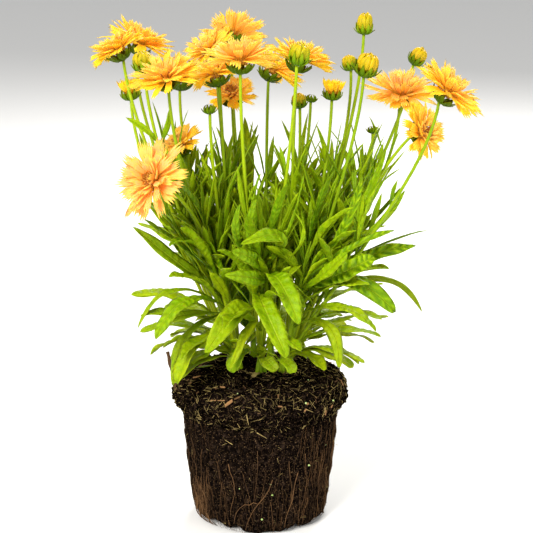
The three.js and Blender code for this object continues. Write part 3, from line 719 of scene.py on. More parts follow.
# A small bare leaf high up a stalk.
HIGH_LEAF = {"start": (236, 268),
             "drawn": {"climb": (52, 78), "droop": (-10, 30), "turn": (-30, 30), "length": (20, 36),
                       "width": (2.6, 3.8)},
             "shared": {"peak": 1.1, "blunt": 0.9}}
# A short spoon-shaped leaf, one of those that crowd round the crown.
SEEDLING = {"count": 4, "start": (116, 128), "swing": (-120, 120),
            "drawn": {"climb": (30, 70), "droop": (20, 60), "length": (18, 32), "width": (6, 9),
                      "turn": (-20, 20), "age": (0.4, 0.9)},
            "shared": {"peak": 1.7, "blunt": 0.42}}


def pair_leaves(points, pairs, heights, random):
    """Opposite leaves up a stem: broad and spreading at its foot, slim and upright higher up."""
    leaves = []
    facing = random(0, 180)
    for number in range(pairs):
        share = (number + random(0.2, 0.8)) / pairs
        root = point_at_height(points, mixed(heights, share))
        facing += 90 + random(-25, 25)
        for side in (0, 180):
            leaves.append({
                "root": root,
                "heading": facing + side + random(-20, 20),
                "climb": mixed((54, 80), share) + random(-12, 8),
                "droop": mixed((30, 10), share) + random(-12, 12),
                "turn": random(-30, 30),
                "length": mixed((56, 50), share) * random(0.75, 1.2),
                "width": mixed((9.5, 3.3), share) * random(0.8, 1.2),
                "peak": mixed((1.5, 1.15), share),
                "blunt": mixed((0.5, 0.85), share),
                "age": 0.4 * (1 - share),
            })
    return leaves


def slim_leaf(rule, points, random):
    return grown_leaf(rule, point_at_height(points, random(*rule["start"])), random(0, 360), random)


def seedling_leaf(shoot, random):
    root = crown_point(shoot, random(*SEEDLING["start"]))
    return grown_leaf(SEEDLING, root, shoot["middle"] + random(*SEEDLING["swing"]), random)


print("filling leaves on a stalk:", 2 * PAIRS["stalk"][0] + 1)

# %% [markdown]
# ## Green cups
# Under every head sits a cup of two rows of bracts. The inner ones stand together as a bowl; the
# outer ones are narrow and curl away. Each inner bract is a blade wrapped round the head's axis, and
# each outer one is a slim blade on a curved line, so the cup shows its seams from every side.

# %% Cups
CUP = {"mouth": 6.6, "height": 6.6, "bract_half": 28}
CURL_RISE = {"bloom": 4.4, "bud": 5.0}
BLOOM_BOWL = [(0.5, -1.6), (3.2, -0.7), (5.8, 0.9), (7.8, 2.8), (9.2, 4.7), (10.0, 6.4)]
BUD_BOWL = [(0.5, -1.7), (3.4, -0.9), (5.6, 1.1), (6.6, 3.2), (7.0, 5.4), (7.1, 8.0)]
GREEN_BOWL = [(0.5, -1.7), (3.6, -0.8), (5.9, 1.6), (6.5, 4.4), (5.2, 7.4), (1.6, 9.4)]
CUP_BRACTS = 8
CURL_BRACTS = 8


def bud_bowl(bud):
    """The bracts of a young bud reach far up it; those of a ripe one stay below its middle."""
    if "open" not in bud:
        return GREEN_BOWL
    taller = mixed((0.2, 0.0), bud["ripe"])
    return [(radius, height * (1 + taller * max(0, height) / 8)) for radius, height in BUD_BOWL]


def head_matrix(head):
    facing = direction(*head["face"])
    level = direction(head["face"][0] + 90, 0)
    third = facing.cross(level)
    turn = Matrix((level, third, facing)).transposed().to_4x4()
    return Matrix.Translation(Vector(head["foot"])) @ turn


def profile_through(corners):
    line = line_through([Vector((radius, 0, height)) for radius, height in corners])
    return lambda share: (line(share).x, line(share).z)


def pointed(share, start):
    """Full width up to a start, then drawn in to a point."""
    return 1 if share < start else max(0.02, 1 - (share - start) / (1 - start)) ** 0.85


def add_cup(work, head, size, bowl, rise_of, random, young=0.0):
    frame = head_matrix(head)
    profile = profile_through([(radius * size, height * size) for radius, height in bowl])
    for number in range(CUP_BRACTS):
        azimuth = 360 / CUP_BRACTS * number + random(-4, 4)
        tip = random(-0.6, 0.8)

        def place(across, along, side):
            radius, height = profile(along)
            angle = math.radians(azimuth + across * CUP["bract_half"] * pointed(along, 0.3))
            keel = 0.6 * (1 - abs(across)) - 0.15 * math.cos(math.pi * 4 * across)
            radius += (side * 0.3 + across * 0.35 + keel * math.sin(math.pi * along)
                       + tip * along**3) * size
            return frame @ Vector((radius * math.cos(angle), radius * math.sin(angle), height))
        paste(work, BRACT_BLADE, place, GREEN["cup"], random(0, 1), young)
    for number in range(CURL_BRACTS):
        azimuth = 360 / CURL_BRACTS * (number + 0.5) + random(-9, 9)
        out = direction(azimuth, 0)
        rise, curl = rise_of * random(0.7, 1.3), random(-1.5, 1.5)
        corners = [out * 1.2 - UP * 0.8, out * 4.8 - UP * 0.6, out * 8.0 + UP * (rise * 0.4 + 0.2),
                   out * (random(10.6, 12) - 0.35 * rise) + UP * (rise + curl)]
        corners = [frame @ (corner * size) for corner in corners]
        across = frame.to_3x3() @ Vector((out.y, -out.x, 0))
        frames = frames_along(line_through(corners), LEAF_STEPS, Vector(), across)
        width = random(1.0, 1.4) * size

        def place(across, along, side):
            point, right, _, up = frames[round(along * LEAF_STEPS)]
            half = width * math.sin(math.pi * min(1, along * 0.86 + 0.12)) ** 0.7 if along < 1 else 0
            return point + right * across * half + up * (side * 0.25 + abs(across) * 0.3)
        paste(work, SLIM_BLADE, place, GREEN["cup"], random(0, 1), 0.4 * young)


print("bracts in a cup:", CUP_BRACTS + CURL_BRACTS)

# %% [markdown]
# ## Finishes
# The finishes are procedural. Two node groups are shared: one draws the veins of a blade from its
# lay, and one gives soft blotches. Colours that change come from the lay and the blotches; roughness
# and the like, which are the same all over a leaf, are set on the shader itself.

# %% Node helpers
def add(tree, kind, feeds=None, **settings):
    node = tree.nodes.new(kind)
    for key, value in settings.items():
        setattr(node, key, value)
    for place, value in (feeds or {}).items():
        if isinstance(value, bpy.types.NodeSocket):
            tree.links.new(value, node.inputs[place])
        else:
            node.inputs[place].default_value = value
    return node


def count(tree, operation, a, b=0.0, c=0.0):
    return add(tree, "ShaderNodeMath", {0: a, 1: b, 2: c}, operation=operation).outputs[0]


def times(tree, a, b):
    return count(tree, "MULTIPLY", a, b)


def stretch(tree, value, low, high, to_low=0.0, to_high=1.0):
    feeds = {0: value, 1: low, 2: high, 3: to_low, 4: to_high}
    return add(tree, "ShaderNodeMapRange", feeds).outputs[0]


def blend_colors(tree, factor, a, b):
    return add(tree, "ShaderNodeMix", {0: factor, 6: a, 7: b}, data_type="RGBA").outputs[2]


def layered(tree, color, layers):
    """Lays colours over one another, each by its own mask."""
    for mask, layer in layers:
        color = blend_colors(tree, mask, color, (*layer, 1))
    return color


def ramp(tree, factor, stops):
    node = add(tree, "ShaderNodeValToRGB", {0: factor})
    colors = node.color_ramp.elements
    while len(colors) < len(stops):
        colors.new(0.5)
    for element, (place, color) in zip(colors, stops):
        element.position = place
        element.color = (*color, 1)
    return node.outputs[0]


def new_material(name, roughness, subsurface, specular):
    material = bpy.data.materials.new(name)
    material.use_nodes = True
    tree = material.node_tree
    set_sockets(tree.nodes["Principled BSDF"], {
        "Roughness": roughness, "Specular IOR Level": specular, "Subsurface Weight": subsurface,
        "Subsurface Radius": (1.0, 0.6, 0.15), "Subsurface Scale": 0.003})
    return material, tree


def finished(material, color, relief, strength, depth):
    """Feeds the shader its colour and its fine relief, which is of a strength and of a depth in metres."""
    tree = material.node_tree
    shader = tree.nodes["Principled BSDF"]
    tree.links.new(color, shader.inputs["Base Color"])
    bump = add(tree, "ShaderNodeBump", {"Height": relief, "Strength": strength, "Distance": depth})
    tree.links.new(bump.outputs[0], shader.inputs["Normal"])
    return material


def read_lay(tree):
    node = add(tree, "ShaderNodeAttribute", attribute_name=LAY)
    parts = add(tree, "ShaderNodeSeparateColor", {0: node.outputs["Color"]})
    return parts.outputs[0], parts.outputs[1], parts.outputs[2], node.outputs["Alpha"]


def off_middle(tree, across):
    """How far a point lies from the middle of its blade, from 0 to a half."""
    return count(tree, "ABSOLUTE", count(tree, "SUBTRACT", across, 0.5))


def ridges(tree, across, turns):
    return count(tree, "SINE", times(tree, across, turns))


print("node helpers:", [helper.__name__ for helper in (add, count, times, stretch, layered, ramp)])

# %% Shared groups
def new_group(name, inputs, outputs):
    group = bpy.data.node_groups.new(name, "ShaderNodeTree")
    for label in inputs:
        group.interface.new_socket(label, in_out="INPUT", socket_type="NodeSocketFloat")
    for label in outputs:
        group.interface.new_socket(label, in_out="OUTPUT", socket_type="NodeSocketFloat")
    return group, group.nodes.new("NodeGroupInput").outputs, group.nodes.new("NodeGroupOutput").inputs


def make_blotches():
    """Soft blotches of a size, from 0 to 1."""
    group, given, made = new_group("blotches", ["Scale", "Detail"], ["Mask"])
    spot = add(group, "ShaderNodeTexCoord").outputs["Object"]
    cloud = add(group, "ShaderNodeTexNoise", {"Vector": spot, "Scale": given[0], "Detail": given[1]})
    group.links.new(stretch(group, cloud.outputs[0], 0.3, 0.7), made[0])
    return group


def make_veins():
    """A midrib, and the quilts of the leaf shape, from where a point lies across and along it."""
    group, given, made = new_group("veins", ["Across", "Along", "Shade", "Rib"], ["Midrib", "Quilts"])
    off = off_middle(group, given[0])
    group.links.new(stretch(group, off, 0.0, given[3], 1.0, 0.0), made[0])
    edge = times(group, off, 2.0)
    start = times(group, given[2], 2 * math.pi)
    turn = count(group, "MULTIPLY_ADD", given[1], QUILTS["run"], start)
    stray = times(group, count(group, "SINE", turn), QUILTS["stray"])
    run = count(group, "MULTIPLY_ADD", given[1], QUILTS["count"], stray)
    run = count(group, "SUBTRACT", run, times(group, edge, QUILTS["slant"]))
    wave = count(group, "SINE", times(group, run, 2 * math.pi))
    window = times(group, count(group, "SUBTRACT", 1.0, edge), times(group, edge, 4.0))
    group.links.new(times(group, wave, window), made[1])
    return group


BLOTCHES = make_blotches()
VEINS = make_veins()


def blotches(tree, scale, detail=2.0):
    return add(tree, "ShaderNodeGroup", {0: scale, 1: detail}, node_tree=BLOTCHES).outputs[0]


print("node groups:", [group.name for group in (BLOTCHES, VEINS)])

# %% Leaf finishes
LEAF_DEEP, LEAF_MID, LEAF_LIGHT = (0.017, 0.066, 0.001), (0.112, 0.255, 0.001), (0.27, 0.405, 0.002)
# The bulge colour is a painted highlight on the tops of a leaf's quilts.
LEAF_YELLOW, LEAF_SPOT, BULGE_HIGHLIGHT = (0.38, 0.42, 0.003), (0.20, 0.16, 0.01), (0.36, 0.49, 0.005)
RIB_PALE, RIM_PALE = (0.42, 0.52, 0.02), (0.44, 0.58, 0.02)
RIB_WIDTH = 0.045


def make_leaf_finish(name, quilting, rim, bright):
    """How strongly the quilts show, as painted shade in their creases and a painted highlight on their
    bulges; how wide the pale rim is, and how light the tip is.
    """
    material, tree = new_material(name, 0.42, 0.08, 0.09)
    across, along, shade, age = read_lay(tree)
    ribs = {0: across, 1: along, 2: shade, 3: RIB_WIDTH}
    midrib, quilts = add(tree, "ShaderNodeGroup", ribs, node_tree=VEINS).outputs
    young = stretch(tree, age, -0.5, 0.3, 1.2 * quilting, 0.3 * quilting)
    quilts = times(tree, quilts, young)
    pucker = blotches(tree, 260.0, 3.0)
    color = ramp(tree, shade, [(0.0, LEAF_DEEP), (0.45, LEAF_MID), (1.0, LEAF_LIGHT)])
    color = layered(tree, color, [
        (stretch(tree, along, 0.2, 1.0, 0.0, bright), LEAF_LIGHT),
        (stretch(tree, age, 0.0, 1.0, 0.0, 0.6), LEAF_YELLOW),
        (stretch(tree, blotches(tree, 90.0), 0.4, 1.0, 0.0, 0.5), LEAF_MID),
        # Painted shade where the fine puckers of the bump sink in.
        (stretch(tree, pucker, 0.45, 0.0, 0.0, 0.3 * quilting), LEAF_DEEP),
        # Painted shade in the creases of the quilts, and a painted highlight on their bulges.
        (stretch(tree, quilts, -0.05, -0.9, 0.0, 0.55), LEAF_DEEP),
        (stretch(tree, quilts, 0.1, 0.9, 0.0, 0.5), BULGE_HIGHLIGHT),
        (times(tree, midrib, 0.5), RIB_PALE),
        # The pale rim is partly the lighter margin of the leaf and partly a painted edge highlight.
        (stretch(tree, off_middle(tree, across), 0.5 - rim, 0.5, 0.0, 0.8), RIM_PALE),
        # Painted shade: a leaf is darker towards its foot, deep in the foliage near the crown.
        (stretch(tree, along, 0.0, 0.45, 0.7, 0.0), LEAF_DEEP),
        (stretch(tree, blotches(tree, 420.0), 0.92, 1.0, 0.0, 0.5), LEAF_SPOT),
    ])
    relief = count(tree, "ADD", times(tree, quilts, 0.5), pucker)
    return finished(material, color, count(tree, "SUBTRACT", relief, midrib), 0.8, 0.0008)


LEAF_FINISH = make_leaf_finish("leaf", 0.8, 0.06, 0.3)
SLIM_FINISH = make_leaf_finish("slim_leaf", 0.25, 0.1, 0.55)
print("leaf finishes:", LEAF_FINISH.name, SLIM_FINISH.name)

# %% Stalk and cup finishes
def make_stalk_finish():
    material, tree = new_material("stalk", 0.42, 0.1, 0.1)
    across, along, shade, _ = read_lay(tree)
    # Painted shade: a stalk is darker towards its foot, where the crown lies in deep shade.
    color = ramp(tree, along, [(0.0, (0.16, 0.19, 0.004)), (0.25, (0.29, 0.36, 0.003)),
                               (0.6, (0.28, 0.40, 0.003)), (1.0, (0.27, 0.39, 0.004))])
    color = layered(tree, color, [(times(tree, shade, 0.75), (0.12, 0.24, 0.002)),
                                  (times(tree, blotches(tree, 160.0), 0.3), (0.40, 0.52, 0.01))])
    relief = count(tree, "ADD", ridges(tree, across, 24.0), blotches(tree, 1200.0))
    return finished(material, color, relief, 0.4, 0.0002)


def make_cup_finish():
    material, tree = new_material("cup", 0.5, 0.05, 0.05)
    across, along, shade, young = read_lay(tree)
    fresh = ramp(tree, along, [(0.0, (0.07, 0.19, 0.003)), (0.5, (0.16, 0.33, 0.004)),
                               (1.0, (0.36, 0.44, 0.008))])
    color = ramp(tree, along, [(0.0, (0.06, 0.12, 0.001)), (0.5, (0.07, 0.125, 0.001)),
                               (1.0, (0.13, 0.18, 0.001))])
    edge = stretch(tree, off_middle(tree, across), 0.36, 0.5, 0.0, 0.3)
    color = layered(tree, blend_colors(tree, young, color, fresh), [
        (times(tree, shade, 0.4), (0.025, 0.055, 0.001)), (edge, (0.26, 0.31, 0.003))])
    return finished(material, color, ridges(tree, across, 50.0), 0.35, 0.0002)


GREENS = [LEAF_FINISH, make_stalk_finish(), make_cup_finish(), SLIM_FINISH]
print("green finishes:", [material.name for material in GREENS])

# %% [markdown]
# ## The leafy shoots
# A shoot is one living piece, so it is one object: crown, leafy stem, flower stalks, cups and leaves.
# It stands for its solid, and its draws follow the same order, so each leaf lies where its solid is.

# %% Grow the shoots
SEED = 20417
SHOOT_SEED = 101
FILL_SEED = 6007
CROWN = {"stems": 5, "top": 131, "sunk": 5}
LEAST_BLOOM = 10


def add_crown(work, shoot, random):
    """The crown's short old stems, which fan out of the soil and hold the stalks."""
    top = crown_point(shoot, CROWN["top"])
    for number in range(CROWN["stems"]):
        foot = crown_point(shoot, soil_height(shoot["crown"]) - CROWN["sunk"])
        foot += direction(360 / CROWN["stems"] * number + random(-20, 20), 0) * random(2.0, 4.5)
        points = [foot.lerp(top, ring / ROD_RINGS) for ring in range(ROD_RINGS + 1)]
        add_stalk(work, points, (random(1.5, 2.0), 1.2), random(0.9, 1.3))


def add_head_cup(work, head, random):
    if head["radius"] > LEAST_BLOOM:
        add_cup(work, head, 1, BLOOM_BOWL, CURL_RISE["bloom"], random)
    else:
        size, young = bud_radius(head) / CUP["mouth"], 1 - 0.7 * head.get("ripe", 0.6)
        add_cup(work, head, size, bud_bowl(head), CURL_RISE["bud"], random, young)


def grow_shoot(number, name):
    """random draws what the solids drew too; fine draws what only the dressed plant has."""
    shoot = SHOOTS[name]
    work = new_piece()
    random = make_random(SEED + SHOOT_SEED * (number + 1))
    fine = make_random(SEED + FILL_SEED + number)
    stem = stem_points(shoot)
    leaves = [basal_leaf(shoot, (i + 0.5) / BASAL_LEAF["count"], random) for i in range(BASAL_LEAF["count"])]
    if name in BARE_CROWNS:
        leaves = []
    for i in range(STEM_LEAF["count"]):
        leaves.append(stem_leaf(shoot, stem, (i + 0.5) / STEM_LEAF["count"], random))
    add_crown(work, shoot, fine)
    add_stalk(work, stem, STEM["dressed"], fine(0, 1))
    fill = pair_leaves(stem, *PAIRS["stem"], fine)
    fill += [seedling_leaf(shoot, fine) for _ in range(SEEDLING["count"])]
    fill += [slim_leaf(CREST_LEAF, stem, fine) for _ in range(CREST_LEAF["count"])]
    heads = [head for head in [*BLOOMS.values(), *BUDS.values()] if head["shoot"] == name]
    for i, head in enumerate(heads):
        stalk = stalk_points(head, shoot)
        add_stalk(work, stalk, STALK["dressed"], fine(0, 1))
        add_head_cup(work, head, fine)
        fill.append(slim_leaf(HIGH_LEAF, stalk, fine))
        if head["radius"] > GREEN_BUD:
            leaves.append(stalk_leaf(shoot, stalk, 1 if i % 2 else -1, random))
        fill += pair_leaves(stalk, *PAIRS["front_stalk" if name in FRONT_SHOOTS else "stalk"], fine)
    leaves += [placed_leaf(row, stem) for row in SHOWN_LEAVES.get(name, [])]
    for bud, rows in PERCHED_LEAVES.items():
        if BUDS[bud]["shoot"] == name:
            fill += [placed_leaf(row, stalk_points(BUDS[bud], shoot)) for row in rows]
    for leaf in leaves:
        add_leaf(work, BROAD_BLADE, leaf, shoot, fine)
    for leaf in fill:
        add_leaf(work, FILL_BLADE, leaf, shoot, fine, bound=False)
    finish_piece(work, "leafy_shoot_" + name, "shoot_" + name, GREENS)


for number, name in enumerate(SHOOTS):
    grow_shoot(number, name)

# %% [markdown]
# ## Petals and florets
# What looks like one flower is a head of many. Here the toothed ray petals stand in rings: the outer
# ring is broad and lies flat, and each further ring is narrower, shorter and steeper, up to the small
# tubes of the middle. A petal is a pasted blade with grooves along it and four teeth at its tip.

# %% Petal finishes
# The orange laid in the hollows of a petal's folds is painted shade.
PETAL_YELLOW, PETAL_FOLD_SHADE, PETAL_PALE = (1.0, 0.54, 0.004), (1.0, 0.30, 0.002), (1.0, 0.60, 0.05)
OUTER_STOPS = [(0.0, (0.95, 0.27, 0.002)), (0.3, (1.0, 0.41, 0.003)), (0.65, (1.0, 0.49, 0.005)),
               (0.9, (1.0, 0.54, 0.008)), (1.0, PETAL_YELLOW)]
INNER_STOPS = [(0.0, (1.0, 0.23, 0.020)), (0.2, (1.0, 0.29, 0.045)), (0.5, (1.0, 0.335, 0.10)),
               (0.85, (1.0, 0.38, 0.14)), (1.0, (1.0, 0.47, 0.05))]


def make_petal_finish():
    """Light that comes through the thin petal is given as a faint glow of its own."""
    material, tree = new_material("petal", 0.5, 0.6, 0.12)
    across, along, shade, inner = read_lay(tree)
    # Painted shade: orange in the hollows of the lengthwise folds, deeper towards the petal's foot.
    fold_shade = stretch(tree, count(tree, "COSINE", times(tree, across, 8 * math.pi)), -1.0, 1.0)
    color = blend_colors(tree, inner, ramp(tree, along, OUTER_STOPS), ramp(tree, along, INNER_STOPS))
    color = layered(tree, color, [
        (times(tree, shade, 0.35), (1.0, 0.60, 0.04)),
        (stretch(tree, off_middle(tree, across), 0.36, 0.5, 0.0, 0.6), PETAL_PALE),
        (times(tree, fold_shade, stretch(tree, along, 0.0, 1.0, 0.34, 0.1)), PETAL_FOLD_SHADE),
    ])
    shader = tree.nodes["Principled BSDF"]
    shader.inputs["Emission Strength"].default_value = 0.2
    tree.links.new(color, shader.inputs["Emission Color"])
    relief = count(tree, "ADD", ridges(tree, across, 90.0), times(tree, blotches(tree, 700.0), 0.6))
    return finished(material, color, relief, 0.4, 0.0002)


def make_floret_finish():
    material, tree = new_material("floret", 0.6, 0.1, 0.5)
    _, along, shade, _ = read_lay(tree)
    color = ramp(tree, along, [(0.0, (0.60, 0.28, 0.01)), (0.7, (0.80, 0.38, 0.02)),
                               (1.0, (0.26, 0.055, 0.005))])
    color = layered(tree, color, [(times(tree, shade, 0.55), (1.0, 0.50, 0.05))])
    return finished(material, color, blotches(tree, 1500.0), 0.4, 0.0002)


def make_bud_finish():
    material, tree = new_material("bud_petal", 0.42, 0.2, 0.12)
    across, along, shade, ripe = read_lay(tree)
    green = ramp(tree, along, [(0.0, (0.13, 0.20, 0.001)), (0.6, (0.36, 0.34, 0.002)),
                               (1.0, (0.80, 0.48, 0.015))])
    golden = ramp(tree, along, [(0.0, (0.24, 0.20, 0.001)), (0.4, (0.42, 0.29, 0.002)),
                                (0.8, (0.60, 0.39, 0.004)), (1.0, (0.86, 0.50, 0.02))])
    # Painted shade: a dark olive laid in the valleys between the ridges of the folded petals.
    wave = count(tree, "COSINE", times(tree, across, 4 * math.pi))
    color = layered(tree, blend_colors(tree, ripe, green, golden), [
        (times(tree, shade, 0.25), (1.0, 0.58, 0.02)),
        (stretch(tree, wave, 0.4, 1.0, 0.0, 0.6), (0.26, 0.22, 0.002)),
    ])
    return finished(material, color, ridges(tree, across, 60.0), 0.4, 0.0002)


PETAL_FINISH = make_petal_finish()
FLORET_FINISH = make_floret_finish()
BUD_FINISH = make_bud_finish()
print("petal finishes:", PETAL_FINISH.name, FLORET_FINISH.name, BUD_FINISH.name)

# %% One petal
PETAL_SHAPE = {"thick": 0.2, "fold": 0.42, "teeth": 0.15, "steps": 20}
# The place of each finish in the list of a flower's and of a bud's materials.
OPEN_PETAL, FLORET, FOLDED_PETAL, RAISED_PETAL = 0, 1, 0, 1


def petal_width(share):
    """A fan: narrow at the foot, widest near the tip."""
    return 0.26 + 0.74 * math.sin(math.pi / 2 * min(1, share / 0.88)) ** 1.15


def add_petal(work, frame, petal, random, finish):
    """petal: azimuth, foot (radius, height), climb, bend, length, width, inner (how pink)."""
    out = direction(petal["azimuth"], 0)
    right = Vector((out.y, -out.x, 0))
    steps = PETAL_SHAPE["steps"]
    points, alongs = [out * petal["foot"][0] + UP * petal["foot"][1]], []
    for step in range(steps + 1):
        climb = math.radians(petal["climb"] + petal["bend"] * step / steps)
        along = out * math.cos(climb) + UP * math.sin(climb)
        alongs.append(along)
        points.append(points[-1] + along * petal["length"] / steps)
    roll, twist = math.radians(random(-16, 16)), math.radians(random(-32, 32))
    cup, sway = random(-0.22, 0.34), random(-0.2, 0.2)
    teeth = [random(0.3, 1.6) for _ in range(9)]

    def place(across, along, side):
        step = round(along * steps)
        forward = alongs[step]
        flat = right.cross(forward)
        turn = roll + twist * along
        wide = right * math.cos(turn) + flat * math.sin(turn)
        up = flat * math.cos(turn) - right * math.sin(turn)
        half = petal["width"] / 2 * petal_width(along)
        fold = -math.cos(4 * math.pi * across)
        lift = fold * PETAL_SHAPE["fold"] * math.sin(math.pi * (0.1 + 0.75 * along))
        lift += cup * half * across**2 + side * PETAL_SHAPE["thick"]
        tooth = fold * teeth[round((across + 1) * 4)] * PETAL_SHAPE["teeth"]
        ahead = petal["length"] * along**5 * (tooth - 0.09 * across**2)
        aside = sway * petal["length"] * along**2
        return frame @ (points[step] + wide * (across * half + aside) + up * lift + forward * ahead)

    paste(work, PETAL, place, finish, random(0, 1), petal["inner"])


print("petal width at half way:", round(petal_width(0.5), 2))

# %% Flower heads
# The rings from the outer to the inner one: how many petals, how far they reach in radii of the head,
# their width on a head of full size, climb, bend, foot (radius, height), and how pink they are.
RINGS = [
    (12, 1.07, 8.2, 10, -20, (5.4, 0.4), 0.0),
    (12, 1.03, 7.6, 21, -20, (5.2, 1.2), 0.15),
    (11, 0.93, 6.8, 36, -18, (5.0, 2.0), 0.3),
    (11, 0.80, 5.8, 53, -14, (4.7, 2.8), 0.5),
    (10, 0.58, 4.4, 68, 4, (4.2, 3.4), 0.7),
]
FULL_RADIUS = 26
FLORETS = {"count": 54, "spread": 4.6, "height": 6.2, "foot": 5, "flare": 1.5}
GOLDEN_ANGLE = 137.5
BLOOM_SEED = 5003
HEAD_STEP = 37


def add_floret(work, frame, azimuth, radius, height, random):
    out = direction(azimuth, 0) * radius
    foot, tip = out + UP * FLORETS["foot"], out * FLORETS["flare"] + UP * (FLORETS["foot"] + height)
    points = [frame @ foot.lerp(tip, ring / ROOT_RINGS) for ring in range(ROOT_RINGS + 1)]
    width = random(0.35, 0.6)
    add_rod(work, ROOT_ROD, points, Vector((1, 0.2, 0)), lambda along: width * (0.6 + 0.8 * along**3),
            FLORET, random(0, 1))


def make_bloom(number, name):
    bloom = BLOOMS[name]
    work = new_piece()
    random = make_random(SEED + BLOOM_SEED + HEAD_STEP * number)
    frame = head_matrix(bloom)
    base = CUP["height"] + GAP
    for petals, reach, width, climb, bend, (radius, height), pink in RINGS:
        start = random(0, 360) + bloom.get("turn", 0)
        for i in range(petals):
            add_petal(work, frame, {
                "azimuth": start + 360 / petals * i + random(-7, 7),
                "foot": (radius, base + height),
                "climb": climb + random(-8, 8),
                "bend": bend + random(-17, 17),
                "length": (bloom["radius"] * reach - radius) * random(0.8, 1.07),
                "width": width * (bloom["radius"] / FULL_RADIUS) * random(0.8, 1.15),
                "inner": min(1, pink + bloom.get("blush", 0.1)),
            }, random, OPEN_PETAL)
    for i in range(FLORETS["count"]):
        radius = FLORETS["spread"] * math.sqrt((i + 0.5) / FLORETS["count"])
        height = base - FLORETS["foot"] + FLORETS["height"] * random(0.8, 1.15)
        add_floret(work, frame, GOLDEN_ANGLE * i, radius, height, random)
    finish_piece(work, "open_flower_" + name, "bloom_" + name, [PETAL_FINISH, FLORET_FINISH])


for number, name in enumerate(BLOOMS):
    make_bloom(number, name)

# %% [markdown]
# ## Buds
# A tight bud is an egg of folded petals, each lapping over the next, so every petal is a blade
# wrapped round the egg and turned a little towards its top. An opening bud already has its petals
# upright, with their teeth showing, so it uses the petals of the flowers, steep and narrow.

# %% Buds
BUD_BASE = 0.86
BUD_SEED = 9001
# The rings of a tight bud: how many petals, half their width in degrees, and their line in radii.
BUD_RINGS = [
    (6, 42, [(0.72, -0.45), (0.90, 0.05), (0.95, 0.42), (0.86, 0.82), (0.66, 1.10), (0.40, 1.26)]),
    (5, 48, [(0.50, 0.0), (0.66, 0.4), (0.62, 0.8), (0.44, 1.14), (0.24, 1.32), (0.12, 1.40)]),
]
# The rings of an open bud: climb, how many petals, their reach and their foot in radii.
OPEN_RINGS = [(60, 9, 1.7, 0.62), (72, 8, 1.6, 0.45), (82, 6, 1.4, 0.25)]


def add_tight_bud(work, frame, bud, random):
    radius = bud_radius(bud)
    base = BUD_BASE * radius
    for petals, half, corners in BUD_RINGS:
        egg = profile_through([(radius * r, base + radius * h) for r, h in corners])
        for number in range(petals):
            azimuth = 360 / petals * number + random(-6, 6)
            tall, lean = random(0.92, 1.05) / bud.get("slim", 1) ** 2, random(2, 24)

            def place(across, along, side):
                ring_radius, height = egg(along)
                narrow = 1 - 0.5 * max(0, along - 0.5) / 0.5
                angle = math.radians(azimuth + across * half * narrow + along**2 * lean)
                fold = -math.cos(2 * math.pi * across) * 0.06 * math.sin(math.pi * (0.1 + 0.8 * along))
                belly = 0.10 * (1 - across**2)
                ring_radius += radius * (fold + belly + across * 0.06 * (1 - along)) + side * 0.2
                height = base + (height - base) * tall - radius * 0.2 * across**2 * along**4
                return frame @ Vector((ring_radius * math.cos(angle), ring_radius * math.sin(angle),
                                       height))
            paste(work, BRACT_BLADE, place, FOLDED_PETAL, random(0, 1), bud["ripe"])


def add_open_bud(work, frame, bud, random):
    radius = bud_radius(bud)
    base = BUD_BASE * radius
    for climb, petals, reach, foot in OPEN_RINGS:
        for i in range(petals):
            add_petal(work, frame, {
                "azimuth": 360 / petals * i + random(-8, 8), "foot": (radius * foot, base - 1),
                "climb": climb + random(-6, 6), "bend": random(-4, 22), "length": radius * reach,
                "width": radius * 0.72 * random(0.85, 1.1), "inner": 0.0,
            }, random, RAISED_PETAL)


def make_bud(number, name):
    bud = BUDS[name]
    work = new_piece()
    random = make_random(SEED + BUD_SEED + HEAD_STEP * number)
    grow = add_open_bud if bud["open"] else add_tight_bud
    grow(work, head_matrix(bud), bud, random)
    finish_piece(work, "flower_bud_" + name, "bud_" + name, [BUD_FINISH, PETAL_FINISH])


for number, name in enumerate(name for name, bud in BUDS.items() if "open" in bud):
    make_bud(number, name)

# %% [markdown]
# ## The root ball
# The soil kept the shape of the pot it grew in: a tapered wall under a thick lip. It could be a
# lathe-turned form, but real soil is crumbs held by roots. So a turned form is the start, its points
# are pushed in and out by the same folds as the solid and by finer crumbs, and then roots, straw,
# bark and pale grains are laid on it one by one.

# %% Soil surface
SOIL_WALL = [(45.6, 0), (49.5, 5), (52, 26), (54.4, 50), (56.4, 72), (57.6, 84), (60.4, 87), (63.6, 90.5),
             (64.5, 94), (64.2, 99), (62.6, 103.6), (59.4, 106.8), (52, soil_height(52) - 0.8),
             (36, soil_height(36)), (18, soil_height(18)), (0, 115)]
RELIEF = {"wall": 0.3, "top": 0.6, "edge": 3.2, "bite": 3, "chip": 4.0}
BITES = [(222, 15, 1.0), (247, 8, 0.8), (281, 7, 0.35), (305, 10, 0.7), (332, 8, 0.5), (20, 12, 0.8),
         (75, 9, 0.6), (118, 14, 0.9), (166, 10, 0.6), (196, 8, 0.4)]
SOIL_SIDES = 200
SOIL_STEP = 1.3
ON_GROUND = 0.01
# Slopes as a start and a length in mm: where the top takes over from the wall, and where the crumbs
# get loose; then the lower edge of the lip and how far it frays, and how high the foot is broken.
TOP_SLOPE, LOOSE_SLOPE, LIP_EDGE, FOOT_HEIGHT = (98, 8), (70, 20), (88, 8), 12


def risen(height, start, length):
    """0 below a slope, 1 above it."""
    return clipped((height - start) / length)


def soil_relief(angle, height, share):
    folds = math.sin(angle * 13 + height * 0.04) + 0.8 * math.sin(angle * 9 - height * 0.07)
    crumbs = math.sin(angle * 17 + height * 0.43) + math.sin(angle * 6 - height * 0.27)
    return share * (1.15 * folds + 0.95 * crumbs)


